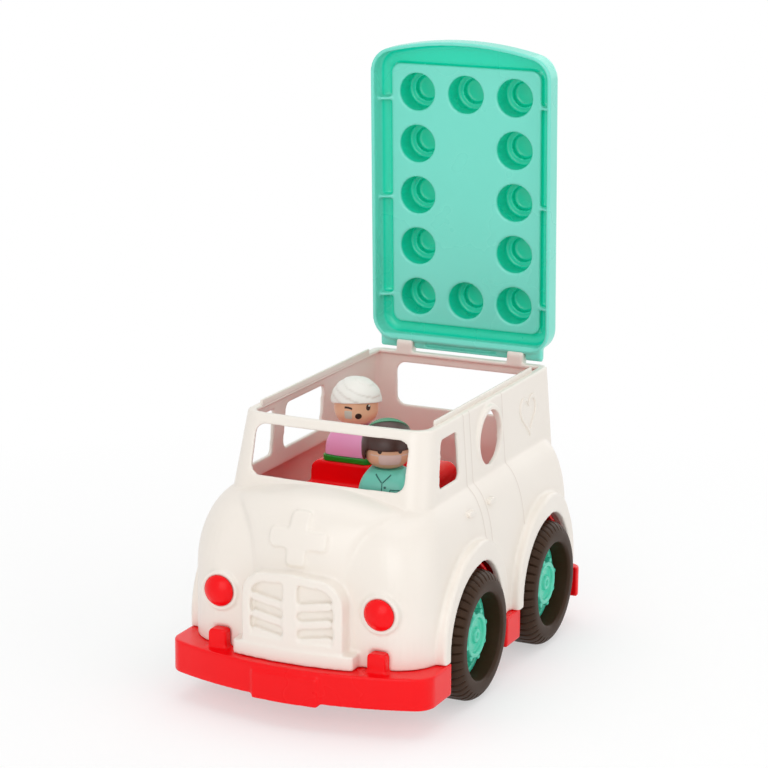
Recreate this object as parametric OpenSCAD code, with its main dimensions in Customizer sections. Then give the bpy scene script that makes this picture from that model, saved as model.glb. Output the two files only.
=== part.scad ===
// Toy ambulance with a hinged roof lid, two turning wheel sets and two lift-out figures.
// The vehicle faces -Y, its left side is +X and it stands on z = 0.
// Reaches along Y are measured from a datum in the middle of the body.

/* [Body shell] */
// Wall of the moulded shells
wall = 2.5; // [2:0.1:3]
// Width over the lower body panels
body_w = 149; // [144:1:154]
// Front of the fenders, ahead of the datum
fender_reach = 111.5; // [108:0.5:113]
// Rear of the lower body, behind the datum
tail_reach = 117.5; // [116:0.5:122]
// Height of the lower edge, which stands on the bumper
foot_z = 35.2; // [33:0.2:37]
// Height where the rounded shoulder begins
shoulder_z = 76; // [70:1:84]
// Height of the waist crease
belt_z = 118; // [114:0.5:120]
// Plan radius of the fenders
fender_r = 26; // [20:1:30]
// Plan radius of the rear corners
tail_r = 16; // [10:1:20]
// Front of the nose, ahead of the datum
nose_reach = 115.5; // [113:0.5:118]
// Width of the nose at the grille
nose_w = 68; // [64:1:74]
// Width of the bonnet at the windscreen
bonnet_w = 94; // [86:1:100]
// Height of the bonnet at the windscreen
bonnet_z = 126.5; // [122:0.5:126.5]

/* [Greenhouse] */
// Width over the roof rim
rim_w = 116.6; // [114:0.2:119]
// Height of the roof rim
rim_z = 160.5; // [158:0.5:164]
// Width at the waist crease
belt_w = 123; // [119:1:127]
// Windscreen plane at the waist, ahead of the datum
screen_reach = 82.3; // [80:0.1:86]
// Windscreen plane at the rim, ahead of the datum
header_reach = 70.2; // [67:0.1:74]
// Rear wall at the rim, behind the datum
rim_tail_reach = 114; // [112:0.5:115]
// Rear wall at the waist, behind the datum
belt_tail_reach = 115; // [113:0.5:116]
// Plan radius of the front pillars
pillar_r = 13; // [9:0.5:16]
// Plan radius of the rear pillars
rear_pillar_r = 6; // [4:0.5:10]
// Width of the windscreen opening
screen_w = 95; // [80:1:98]
// Lower edge of the windscreen opening
screen_sill_z = 127; // [127:0.5:132]
// Upper edge of the windscreen opening
screen_head_z = 155; // [150:0.5:155]
// Corner radius of the windscreen opening
screen_r = 6; // [3:0.5:9]
// Lower edge of the side and rear windows
sill_z = 125.5; // [123:0.5:130]
// Upper edge of the side and rear windows
head_z = 152.6; // [148:0.2:153]
// Corner radius of the side and rear windows
window_r = 4; // [2:0.5:6]
// Length of the cab window at its sill
cab_window_l = 28; // [22:1:30]
// Rear edge of the cab window, ahead of the datum
cab_window_reach = 29; // [26:0.5:32]
// Slant of the cab window's front edge
cab_window_slant = 5; // [2:0.5:8]
// Diameter of the round window on the left side
round_window_d = 32; // [24:0.5:34]
// Centre of the round window, behind the datum
round_window_y = 15.3; // [10:0.1:20]
// Length of the rectangular window on the right side
side_window_l = 51; // [40:1:56]
// Front edge of the rectangular window, ahead of the datum
side_window_reach = 14; // [10:0.5:18]
// Width of the rear window
rear_window_w = 86; // [70:1:90]
// Width of the flange round the rim
rim_flange_w = 5; // [4:0.2:7]
// Height of the locating lip on the side rails
lip_h = 3; // [1.5:0.1:4]
// Thickness of the locating lip
lip_t = 1.5; // [1:0.1:2]

/* [Trim moulded on the body] */
// How far the cross stands out of the bonnet
emboss_h = 1; // [0.5:0.1:1.5]
// Width of the cross on the bonnet
cross_w = 35.3; // [28:0.1:38]
// Height of the cross, seen from the front
cross_h = 29.2; // [24:0.1:31]
// Width of the upright arm of the cross
cross_arm_w = 11.7; // [8:0.1:13]
// Height of the level arm of the cross, seen from the front
cross_arm_h = 10; // [7:0.1:11]
// Height of the middle of the cross
cross_z = 104.2; // [102:0.1:106]
// Width of the grille frame
grille_w = 62; // [54:1:64]
// Height of the grille frame's crown
grille_z = 87; // [82:0.5:88]
// How far the grille stands out of the nose
grille_t = 8; // [5:0.5:8]
// Depth of the openings between the bars
grille_relief = 2.5; // [1:0.1:3]
// Width of the bars of the grille frame
grille_bar_w = 5.5; // [4:0.5:7]
// Width of the ledge under the grille
ledge_w = 78; // [70:1:80]
// How far the ledge stands out
ledge_t = 8.5; // [6:0.5:9]
// Height of the ledge
ledge_h = 8.5; // [6:0.5:9]
// Height of the headlamps
lamp_z = 67.6; // [64:0.2:70]
// Headlamps off the middle
lamp_x = 49.4; // [47:0.2:51]
// Diameter of a headlamp lens
lamp_d = 18.4; // [15:0.2:20]
// Width of the bezel round a lens
bezel_w = 2.4; // [1.5:0.1:3]
// How far a lens domes out
lamp_dome = 4.2; // [3:0.2:5]
// Diameter of the stem of a lens
lamp_stem_d = 7; // [5:0.5:9]
// Length of the stem of a lens
lamp_stem_l = 7; // [5:0.5:9]
// How far the wheel arch flares stand out of the side
flare_t = 5.5; // [4:0.5:5.5]
// Width of the flares round an arch
flare_w = 8; // [6:0.5:9]
// How far the middle of a flare lies over the axle
flare_rise = 4; // [0:0.5:5]

/* [Wheels] */
// Diameter of the tyres
tyre_d = 75.2; // [72:0.2:78]
// Width of the tyres
tyre_w = 24; // [20:0.5:25]
// Diameter of the round opening in a tyre
tyre_bore_d = 50.4; // [46:0.2:54]
// Rounding of a tyre's shoulders
tyre_round = 8; // [5:0.5:10]
// Front axle, ahead of the datum
front_axle_reach = 39.6; // [38.6:0.2:40.6]
// Rear axle, behind the datum
rear_axle_reach = 67.8; // [66.8:0.2:68.8]
// Radius of the wheel arches
arch_r = 43; // [42:0.5:44]
// Depth of the hub face below the tyre's outer face
hub_inset = 9; // [7:0.5:11]
// Thickness of the hub disc
hub_t = 8; // [6:0.5:9]
// Diameter of the raised drum of a hub
drum_d = 30; // [24:0.5:34]
// How far the drum stands off the disc
drum_h = 5.5; // [3:0.5:6]
// Number of nubs round the drum
nub_count = 8; // [6:1:10]
// Diameter of a nub
nub_d = 4; // [3:0.2:5]
// Diameter of the axles
axle_d = 5; // [4:0.2:6]

/* [Chassis] */
// Underside of the chassis
chassis_z = 16.6; // [15:0.2:18]
// Front of the bumper on the middle line, ahead of the datum
bumper_reach = 130; // [128:0.5:134]
// Bow of the front bumper
bumper_bow = 12; // [8:0.5:14]
// Corner radius of the front bumper
bumper_r = 12; // [8:0.5:14]
// Rear of the rear bumper, behind the datum
rear_bumper_reach = 125; // [124:0.5:129]
// Bow of the rear bumper
rear_bumper_bow = 5; // [2:0.5:5]
// Corner radius of the rear bumper
rear_bumper_r = 7; // [5:0.5:8]
// Thickness of the chassis floor
pan_t = 2.5; // [2:0.1:3]
// Width of the bare plate on the front bumper
plate_w = 40.6; // [34:0.2:46]
// Height of the plate
plate_h = 16.5; // [14:0.5:17]
// Thickness of the plate
plate_t = 1.5; // [1:0.1:2]
// How far the plate hangs below the bumper
plate_drop = 1.8; // [1:0.1:3]
// Width of the two snap tabs
tab_w = 13.6; // [10:0.2:15]
// Height of the snap tabs over the bumper
tab_h = 13.4; // [10:0.2:14]
// Diameter of the body screws
screw_d = 3; // [2.6:0.1:3.4]

/* [Cabin insert] */
// Height of the load floor
floor_z = 82; // [81.5:0.5:86]
// Gap between the load floor and the sides of the body
floor_gap = 2.5; // [1:0.5:5]
// Height of the front seat step
step_z = 108; // [104:0.5:110]
// Width of the front seat step
step_w = 96; // [86:1:98]
// Front of the front seat step, ahead of the datum
step_reach = 58; // [54:0.5:60]
// Height of the bench
bench_z = 121.5; // [118:0.5:121.5]
// Width of the bench
bench_w = 80; // [76:1:90]
// Front of the bench, ahead of the datum
bench_reach = 16; // [14:0.5:18]
// Depth of the bench from front to back
bench_l = 32; // [28:0.5:36]
// Diameter of the pegs that hold the figures
peg_d = 19.5; // [16:0.5:21]
// Height of the pegs
peg_h = 3; // [2:0.5:3]

/* [Roof lid] */
// Width of the lid
lid_w = 117.4; // [117:0.2:122]
// Length of the lid from the hinge axis to its front edge
lid_l = 190.2; // [188:0.2:196]
// Angle between the closed lid and the lid as it stands
lid_open = 88; // [80:1:90]
// Wall of the lid
lid_wall = 2.2; // [1.8:0.1:2.6]
// Height of the lid from its skirt edge to the roof
lid_h = 16.2; // [15:0.1:18]
// Depth of the sunken roof tray
tray_depth = 4.3; // [3:0.1:5]
// Width of the tray's underside
panel_w = 98; // [94:1:100]
// Length of the tray's underside
panel_l = 162; // [160:1:164]
// Bow of the front edge
lid_bow = 5; // [2:0.5:7]
// Corner radius of the lid
lid_r = 15; // [12:0.5:18]
// Rounding of the roof's outer edge
lid_round = 5; // [3:0.5:6]
// Pitch of the roof studs
stud_pitch = 32; // [32:0.1:32.4]
// Diameter of a roof stud
stud_d = 27.4; // [25:0.2:28]
// Height of a roof stud
stud_h = 15.5; // [12:0.5:17]
// Diameter of the boss on a stud
boss_d = 19.5; // [17:0.5:21]
// Height of the boss on a stud
boss_h = 4.5; // [3:0.5:6]
// Diameter of the hinge bar
hinge_bar_d = 4.8; // [4:0.2:5]
// Hinge axis over the rim
hinge_rise = 4; // [3.5:0.1:5]
// Hinge axis, behind the datum
hinge_reach = 113.5; // [113:0.1:114]
// Width of a hinge lug
lug_w = 10.7; // [8:0.1:12]
// Hinge lugs off the middle
lug_x = 37; // [32:0.5:40]

/* [Figures] */
// Width of a figure's base
base_w = 31.2; // [29:0.2:31.6]
// Width of a figure's torso at its foot
figure_w = 30; // [27:0.5:31]
// Depth of a figure's torso at its foot
figure_d = 30; // [27:0.5:31]
// Height of a figure's base
base_h = 3.4; // [3.2:0.1:3.8]
// Height of a figure's torso
torso_h = 16.8; // [16:0.1:17.2]
// Diameter of a figure's head
head_d = 25.8; // [24:0.2:27]
// Height of a figure's head
head_h = 25; // [24:0.1:25.4]
// Wall of the hair, the cap and the bandage
hair_t = 2.2; // [1.8:0.1:2.5]
// Figures off the middle
figure_x = 18; // [16:0.5:20]
// Driving figure, ahead of the datum
medic_reach = 34; // [33.5:0.5:36]
// Turn of the driving figure on its peg
medic_turn = 11; // [0:1:12]
// Turn of the driving figure's head
medic_look = 31; // [0:1:60]
// Turn of the riding figure's head
patient_look = 31; // [0:1:60]

/* [Hidden] */
$fn = 64;

// Steps of a plan outline: along the bow of a front edge, round each corner, and up a rounded shoulder
bow_steps = 4;
corner_steps = 6;
shoulder_steps = 6;
// One overrun for every cut, and one depth by which joined shapes run into each other
overrun = 6;
root = 1;

// Clearances: parts that are laid in, running shafts, pressed pieces, tyres on hubs, and bodies that pass
lay_gap = 0.3;
run_gap = 0.05;
press_gap = 0.03;
tyre_gap = 0.1;
pass_gap = 0.4;

// Tyres and bumpers are as wide as the flares and stand out of them a little
tyre_stand = 0.3;
track_w = body_w + 2 * (flare_t + tyre_stand);
bumper_w = track_w;

// Body shell
axle_z = tyre_d / 2;
waist_inset = 4;
waist_rise = 1.5;
belt_front_reach = 66;
nose_mid_z = 70;
bonnet_back_reach = 75;
nose_power = 3;
fender_bow = 1;
tail_bow = 2;
nose_bow = 2.5;
nose_r = 12;
nose_tail_reach = 45;
screen_bow = 1.5;
house_foot_z = 105;
flange_t = 2.5;
lip_setback = 6;
lip_front_reach = header_reach - pillar_r - lip_setback;
lip_tail_reach = hinge_reach - lid_r - lip_setback;
bezel_d = lamp_d + 2 * bezel_w;
bezel_h = 1.2;
ring_w = 3;
ring_h = 1;
flare_round = 4;
handle_l = 9;
handle_w = 3;
handle_z = 110.5;
handle_front_reach = 48;
handle_rear_reach = 17;

// Posts that the body screws run into
post_x = 42;
post_d = 9;
post_top_z = 58;
post_front_y = -(fender_reach - wall - post_d / 2 + root);
post_tail_y = tail_reach - tail_bow - wall - post_d / 2 + root;
pan_boss_d = 12;
pan_boss_h = 6;
screw_head_d = 6.4;
screw_head_h = 2;
screw_l = 14;
screw_seat_z = chassis_z + pan_boss_h / 2;

// Chassis
pan_z = chassis_z + pan_t;
sill_inset = 2.3;
tab_t = 8.7;
tab_proud = 6.2;
tab_round = 3;
tab_x = lamp_x;
plate_round = 1.5;
bumper_wall = 2.5;

// Cabin insert
liner_gap = 0.5;
liner_t = 2;
liner_r = arch_r - liner_gap;
housing_wall = 2.5;
tyre_room = 5.8;
tyre_outer_x = track_w / 2;
tyre_inner_x = tyre_outer_x - tyre_w;
housing_x = tyre_inner_x - tyre_room - housing_wall;
pan_half_w = housing_x + housing_wall + liner_gap;
floor_w = body_w - 2 * (wall + floor_gap);
liner_end_x = body_w / 2 - wall - lay_gap - root;
bearing_d = 12;
bearing_l = 6;
floor_front_reach = 74;
floor_tail_reach = 104;
floor_r = 8;
step_r = 6;
bench_r = 6;
peg_x = figure_x;
bench_y = bench_l / 2 - bench_reach;

// Wheels
tyre_lip = 2;
hub_face_x = tyre_outer_x - hub_inset;
hub_back_x = hub_face_x - hub_t;
hub_ring_w = 3;
hub_dish = 2;
hub_boss_d = 9;
hub_boss_h = 1.5;
spacer_d = 11;
spacer_end_x = housing_x + housing_wall + lay_gap;
axle_half_l = hub_face_x;
nub_h = 2;

// Roof lid, drawn closed
hinge_z = rim_z + hinge_rise;
skirt_z = rim_z + lay_gap;
roof_z = skirt_z + lid_h;
tray_z = roof_z - tray_depth;
panel_z = tray_z - lid_wall;
lid_back = 5.5;
lid_tail_y = hinge_reach - lid_back;
lid_front_y = hinge_reach - lid_l;
row_d = 29.2;
stud_rows = 5;
stud_cols = 3;
stud_mid_y = hinge_reach - row_d - (stud_rows - 1) / 2 * stud_pitch;
stud_edge = 1.5;
socket_d = stud_d - 2 * lid_wall;
socket_boss_d = boss_d - 2 * lid_wall;
panel_r = 6;
lid_tail_r = 14;
strip_w = 111;
strip_slot_w = 48;
strip_slot_d = 1.2;
lug_wall = 2.3;
lug_d = hinge_bar_d + 2 * run_gap + 2 * lug_wall;
lug_foot_h = 7;
rib_t = 1.5;
rib_h = 6;
rib_at_shares = [0.125, 0.445, 0.76];

// Figures
torso_top_w = 19;
torso_top_d = 17;
torso_bow = 0.6;
torso_power = 3;
torso_steps = 6;
base_r = 5;
torso_top_r = 6;
neck_d = 10;
neck_h = 3;
head_gap = 0.2;
head_round = 9;
crown_flat = 0.9;
crown_round = head_d / 2 - crown_flat;
hair_round = crown_round + hair_t;
fringe_h = 12.5;
cap_h = 23.9;
cap_tilt = 42;
bandage_h = 12.9;
bandage_tilt = 9;
crown_t = 3;
nape_h = 5;
face_w = head_d + hair_t / 2;
medic_base_z = step_z;
patient_base_z = bench_z;
patient_y = bench_y;
neck_z = base_h + torso_h;

// The frame's Y origin is midway between the plate on the bumper and the standing lid's studs
stud_top_z = tray_z + stud_h + boss_h;
lid_rear_y = hinge_reach + (stud_top_z - hinge_z) * sin(lid_open) - (row_d - boss_d / 2) * cos(lid_open);
frame_y = (bumper_reach + plate_t - lid_rear_y) / 2;

// Right half of a plan outline from the middle of its front to the end of its rear edge
function half_outline(hw, front, tail, rf, rt, bf, bt) = concat(
    [for (i = [0 : bow_steps - 1]) let (u = i / bow_steps) [u * (hw - rf), front + bf * u * u]],
    [for (i = [0 : corner_steps]) let (a = 90 * i / corner_steps)
        [hw - rf + rf * sin(a), front + bf + rf - rf * cos(a)]],
    [for (i = [0 : corner_steps]) let (a = 90 * i / corner_steps)
        [hw - rt + rt * cos(a), tail - bt - rt + rt * sin(a)]],
    [for (i = [bow_steps - 1 : -1 : 1]) let (u = i / bow_steps) [u * (hw - rt), tail - bt * u * u]]
);

// Whole outline: the half, the middle of the rear edge, and the half mirrored
function outline(hw, front, tail, rf, rt, bf = 0, bt = 0) =
    let (h = half_outline(hw, front, tail, rf, rt, bf, bt))
    concat(h, [[0, tail]], [for (i = [len(h) - 1 : -1 : 1]) [-h[i][0], h[i][1]]]);

// Solid through a stack of outlines, each an [outline, height] pair from the lowest up
module loft(stack) {
    n = len(stack[0][0]);
    last = len(stack) - 1;
    polyhedron(
        points = [for (s = stack) for (p = s[0]) [p[0], p[1], s[1]]],
        faces = concat(
            [[for (i = [0 : n - 1]) i]],
            [[for (i = [n - 1 : -1 : 0]) last * n + i]],
            [for (k = [0 : last - 1]) for (i = [0 : n - 1]) let (j = (i + 1) % n)
                each [[k * n + i, (k + 1) * n + i, (k + 1) * n + j], [k * n + i, (k + 1) * n + j, k * n + j]]]
        )
    );
}

// Flat outline turned so that it faces along Y or X and runs from one place to another
module along_y(from, to) translate([0, to, 0]) rotate([90, 0, 0]) linear_extrude(to - from) children();
module along_x(from, to) translate([from, 0, 0]) rotate([90, 0, 90]) linear_extrude(to - from) children();
module rod_x(d, from, to) translate([from, 0, 0]) rotate([0, 90, 0]) cylinder(d = d, h = to - from);
module both_sides() for (s = [0, 1]) mirror([s, 0, 0]) children();

// Rectangle with round corners, about its middle
module round_rect(w, h, r) {
    square([w - 2 * r, h], center = true);
    square([w, h - 2 * r], center = true);
    for (x = [-1, 1], y = [-1, 1]) translate([x * (w / 2 - r), y * (h / 2 - r)]) circle(r);
}

// Post with round edges, drawn from its half profile
module round_post(r, h, foot_edge, top_edge) rotate_extrude() {
    translate([0, foot_edge]) square([r, h - foot_edge - top_edge]);
    square([r - foot_edge, h - top_edge]);
    translate([0, foot_edge]) square([r - top_edge, h - foot_edge]);
    intersection() {
        translate([r - foot_edge, foot_edge]) circle(foot_edge);
        square([r, h]);
    }
    intersection() {
        translate([r - top_edge, h - top_edge]) circle(top_edge);
        square([r, h]);
    }
}

// Lower body: straight sides under an elliptic shoulder; inset is the depth below the outer skin
module lower_body(inset, foot) {
    hw = body_w / 2 - inset;
    top_hw = belt_w / 2 - waist_inset - inset;
    top = belt_z + waist_rise - inset;
    loft(concat(
        [[outline(hw, inset - fender_reach, tail_reach - inset, fender_r - inset, tail_r - inset,
            fender_bow, tail_bow), foot]],
        [for (i = [0 : shoulder_steps]) let (a = 90 * i / shoulder_steps, c = cos(a))
            [outline(top_hw + (hw - top_hw) * c,
                -belt_front_reach + inset - (fender_reach - belt_front_reach) * c,
                belt_tail_reach - waist_inset - inset + (tail_reach - belt_tail_reach + waist_inset) * c,
                fender_r - inset, tail_r - inset, fender_bow, tail_bow),
             shoulder_z + (top - shoulder_z) * sin(a)]]
    ));
}

// Nose and bonnet: an upright face that rolls over into the bonnet and widens towards the windscreen
module nose(inset, foot) {
    top = bonnet_z - inset;
    loft(concat(
        [[outline(nose_w / 2 - inset, inset - nose_reach, -nose_tail_reach, nose_r, root, nose_bow), foot]],
        [for (i = [0 : shoulder_steps]) let (a = 90 * i / shoulder_steps, u = pow(sin(a), 2 / nose_power),
                c = pow(cos(a), 2 / nose_power))
            [outline(nose_w / 2 - inset + (bonnet_w - nose_w) / 2 * u * u,
                inset - bonnet_back_reach - (nose_reach - bonnet_back_reach) * c,
                -nose_tail_reach, nose_r, root, nose_bow),
             nose_mid_z + (top - nose_mid_z) * u]]
    ));
}

// Greenhouse: tapers from the waist to the rim, with a leaning windscreen
function house_outline(z, inset) =
    let (u = (z - belt_z) / (rim_z - belt_z))
    outline(belt_w / 2 + (rim_w - belt_w) / 2 * u - inset,
        inset - screen_reach + (screen_reach - header_reach) * u,
        belt_tail_reach + (rim_tail_reach - belt_tail_reach) * u - inset,
        max(pillar_r - inset, root), max(rear_pillar_r - inset, root), screen_bow, 0);
module house(inset, foot, top) loft([[house_outline(foot, inset), foot], [house_outline(top, inset), top]]);

// Flat shapes of the windows, with their real places in them
module screen_shape()
    translate([0, (screen_sill_z + screen_head_z) / 2])
        round_rect(screen_w, screen_head_z - screen_sill_z, screen_r);
module window_shape(from, to)
    translate([(from + to) / 2, (sill_z + head_z) / 2]) round_rect(to - from, head_z - sill_z, window_r);
module cab_window_shape() difference() {
    window_shape(-cab_window_reach - cab_window_l, -cab_window_reach);
    polygon([
        [-cab_window_reach - cab_window_l - overrun, sill_z],
        [-cab_window_reach - cab_window_l, sill_z],
        [-cab_window_reach - cab_window_l + cab_window_slant, head_z],
        [-cab_window_reach - cab_window_l - overrun, head_z]
    ]);
}
module cross_shape() translate([0, cross_z]) {
    round_rect(cross_w, cross_arm_h, cross_r);
    round_rect(cross_arm_w, cross_h, cross_r);
}

// Grille: an arched frame, a broad middle bar and three slanted louvres on each side
cross_r = 2.5;
louvre_count = 3;
louvre_slope = 9;
louvre_h = 4.7;
louvre_r = 2;
louvre_end_gap = 1;
grille_sill_h = 3.8;
grille_foot_z = foot_z + ledge_h - root;
module grille_arch(inset, foot) {
    hw = grille_w / 2 - inset;
    crown = grille_z - inset;
    corner = hw / 2;
    translate([-hw, foot]) square([2 * hw, crown - corner - foot]);
    translate([corner - hw, foot]) square([2 * (hw - corner), crown - foot]);
    for (s = [-1, 1]) translate([s * (hw - corner), crown - corner]) circle(corner);
}
module grille_shape() {
    open_z = grille_foot_z + grille_sill_h;
    pitch = (grille_z - grille_bar_w - open_z) / (louvre_count + 1 / 2);
    length = grille_w / 2 - grille_bar_w - louvre_end_gap;
    difference() {
        grille_arch(0, grille_foot_z);
        grille_arch(grille_bar_w, open_z);
    }
    translate([-grille_bar_w + louvre_end_gap, grille_foot_z])
        square([2 * (grille_bar_w - louvre_end_gap), grille_z - root - grille_foot_z]);
    for (s = [-1, 1], i = [0 : louvre_count - 1])
        translate([s * length / 2, open_z + pitch * i + louvre_h / 2])
            rotate(s * louvre_slope) round_rect(length, louvre_h, louvre_r);
}

// Flare over one wheel, about a point over the axle; the arch is cut through it with the body's wall
module flare() translate([body_w / 2 - root, 0, flare_rise]) rotate([0, 90, 0])
    round_post(arch_r + flare_w, root + flare_t, 0, flare_round);
module at_axles() for (y = [-front_axle_reach, rear_axle_reach]) translate([0, y, axle_z]) children();

// Ears on the rear rim that hold the lid's hinge bar
module hinge_lug() translate([lug_x - lug_w / 2, hinge_reach, hinge_z]) {
    rod_x(lug_d, 0, lug_w);
    translate([0, -lug_d / 2 + lug_wall, -hinge_rise - lug_foot_h])
        cube([lug_w, lug_d / 2 + rim_tail_reach - hinge_reach - lug_wall, hinge_rise + lug_foot_h]);
}

// Flat shape raised out of the nose by a height
module on_nose(h) intersection() {
    nose(-h, foot_z - overrun);
    along_y(-nose_reach - h - overrun, -bonnet_back_reach) children();
}

module body_outer() {
    lower_body(0, foot_z);
    nose(0, foot_z);
    house(0, house_foot_z, rim_z);
    on_nose(emboss_h) cross_shape();
    on_nose(grille_t - grille_relief) grille_arch(root, grille_foot_z + lay_gap);
    on_nose(grille_t) grille_shape();
    on_nose(ledge_t)
        translate([0, foot_z + lay_gap + ledge_h / 2]) square([ledge_w, ledge_h], center = true);
    both_sides() {
        intersection() {
            at_axles() flare();
            translate([0, -fender_reach, foot_z + lay_gap])
                cube([track_w, fender_reach + tail_reach - tail_bow, shoulder_z + arch_r]);
        }
        translate([lamp_x, root - fender_reach, lamp_z])
            rotate([90, 0, 0]) cylinder(d = bezel_d, h = bezel_h + root);
        hinge_lug();
    }
    for (y = [handle_front_reach, handle_rear_reach]) translate([belt_w / 2, -y, handle_z])
        rotate([0, 90, 0]) cylinder(d = handle_w, h = handle_l);
    translate([belt_w / 2 - ring_h, round_window_y, (sill_z + head_z) / 2])
        rotate([0, 90, 0]) cylinder(d = round_window_d + 2 * ring_w, h = ring_h);
}

module body_cavity() {
    lower_body(wall, foot_z - overrun);
    nose(wall, foot_z - overrun);
    house(wall, house_foot_z - wall, rim_z - flange_t);
    house(rim_flange_w, rim_z - flange_t - root, rim_z + overrun);
}

module body_shell() color("ivory") {
    difference() {
        body_outer();
        body_cavity();
        along_y(-screen_reach - overrun, -header_reach + overrun + wall) screen_shape();
        both_sides() along_x(rim_w / 2 - 2 * overrun, body_w / 2) cab_window_shape();
        translate([rim_w / 2 - 2 * overrun, round_window_y, (sill_z + head_z) / 2])
            rotate([0, 90, 0]) cylinder(d = round_window_d, h = 4 * overrun);
        along_x(-body_w / 2, 2 * overrun - rim_w / 2)
            window_shape(-side_window_reach, side_window_l - side_window_reach);
        along_y(rim_tail_reach - 2 * overrun, rim_tail_reach + overrun)
            translate([0, (sill_z + head_z) / 2]) round_rect(rear_window_w, head_z - sill_z, screen_r);
        both_sides() {
            at_axles() rod_x(2 * arch_r, body_w / 2 - 2 * overrun, track_w);
            translate([lamp_x, overrun - fender_reach, lamp_z])
                rotate([90, 0, 0]) cylinder(d = lamp_stem_d + 2 * press_gap, h = 2 * overrun);
            translate([tab_x - tab_w / 2 - lay_gap, -fender_reach - overrun, foot_z - overrun])
                cube([tab_w + 2 * lay_gap, 2 * overrun, tab_h + lay_gap + overrun]);
            translate([lug_x - lug_w / 2, hinge_reach, hinge_z])
                rod_x(hinge_bar_d + 2 * run_gap, -overrun, lug_w + overrun);
        }
    }
    both_sides() translate([rim_w / 2 - rim_flange_w, -lip_front_reach, rim_z - root])
        cube([lip_t, lip_front_reach + lip_tail_reach, lip_h + root]);
    at_posts(chassis_z + pan_boss_h) difference() {
        cylinder(d = post_d, h = post_top_z - chassis_z - pan_boss_h);
        translate([0, 0, -overrun]) cylinder(d = screw_d + 2 * press_gap, h = screw_l + overrun);
    }
}

// Lens with a domed face and a stem that is pressed into the body
module headlamp() translate([lamp_x, -fender_reach, lamp_z]) rotate([90, 0, 0]) {
    dome_r = (lamp_d * lamp_d / 4 + lamp_dome * lamp_dome) / (2 * lamp_dome);
    intersection() {
        translate([0, 0, bezel_h + lamp_dome - dome_r]) sphere(dome_r);
        translate([0, 0, bezel_h]) cylinder(d = lamp_d, h = lamp_dome + root);
    }
    translate([0, 0, -lamp_stem_l]) cylinder(d = lamp_stem_d, h = lamp_stem_l + bezel_h + root);
}
module headlamp_left() color("red") headlamp();
module headlamp_right() color("red") mirror([1, 0, 0]) headlamp();

// Chassis: bowed bumpers, a floor pan between the wheels, sills, snap tabs and screw bosses
module chassis_outline(inset) polygon(outline(bumper_w / 2 - inset, inset - bumper_reach,
    rear_bumper_reach - inset, bumper_r - inset, rear_bumper_r - inset, bumper_bow, rear_bumper_bow));
module chassis_tray() difference() {
    bumper_h = foot_z - chassis_z;
    union() {
        translate([0, 0, chassis_z]) linear_extrude(bumper_h) chassis_outline(0);
        intersection() {
            translate([0, 0, chassis_z - plate_drop]) linear_extrude(plate_h) chassis_outline(-plate_t);
            along_y(-bumper_reach - overrun, -bumper_reach + overrun)
                translate([0, chassis_z - plate_drop + plate_h / 2]) round_rect(plate_w, plate_h, plate_round);
        }
    }
    translate([0, 0, pan_z]) linear_extrude(bumper_h) polygon(outline(
        body_w / 2 - wall - lay_gap, wall + lay_gap - fender_reach, tail_reach - tail_bow - wall - lay_gap,
        fender_r - wall, tail_r - wall, fender_bow, 0));
    intersection() {
        translate([0, 0, chassis_z - overrun]) linear_extrude(bumper_h + overrun - bumper_wall)
            chassis_outline(bumper_wall);
        translate([-track_w, -bumper_reach, 0])
            cube([2 * track_w, bumper_reach - fender_reach - bumper_wall, foot_z]);
    }
    both_sides() {
        at_axles() translate([pan_half_w, -arch_r, -axle_z]) cube([track_w, 2 * arch_r, tyre_d]);
        translate([bumper_w / 2 - sill_inset, arch_r - front_axle_reach - root, 0])
            cube([track_w, front_axle_reach + rear_axle_reach - 2 * arch_r + 2 * root, foot_z + overrun]);
    }
}
module at_posts(z) both_sides() for (y = [post_front_y, post_tail_y]) translate([post_x, y, z]) children();
module chassis() color("red") difference() {
    union() {
        chassis_tray();
        both_sides() along_y(-fender_reach - tab_proud, tab_t - fender_reach - tab_proud) {
            translate([tab_x, foot_z + tab_h / 2]) round_rect(tab_w, tab_h, tab_round);
            translate([tab_x - tab_w / 2, foot_z - root]) square([tab_w, tab_round + root]);
        }
        at_posts(chassis_z) cylinder(d = pan_boss_d, h = pan_boss_h);
    }
    at_posts(screw_seat_z - overrun) {
        cylinder(d = screw_head_d + 2 * lay_gap, h = overrun);
        cylinder(d = screw_d + 2 * lay_gap, h = 2 * overrun);
    }
    at_posts(chassis_z + pan_boss_h) cylinder(d = post_d + 2 * lay_gap, h = foot_z);
}

// Pan-head screws from below
module body_screws() color("silver") at_posts(screw_seat_z) {
    translate([0, 0, -screw_head_h]) cylinder(d = screw_head_d, h = screw_head_h);
    cylinder(d = screw_d, h = screw_l);
}

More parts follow.
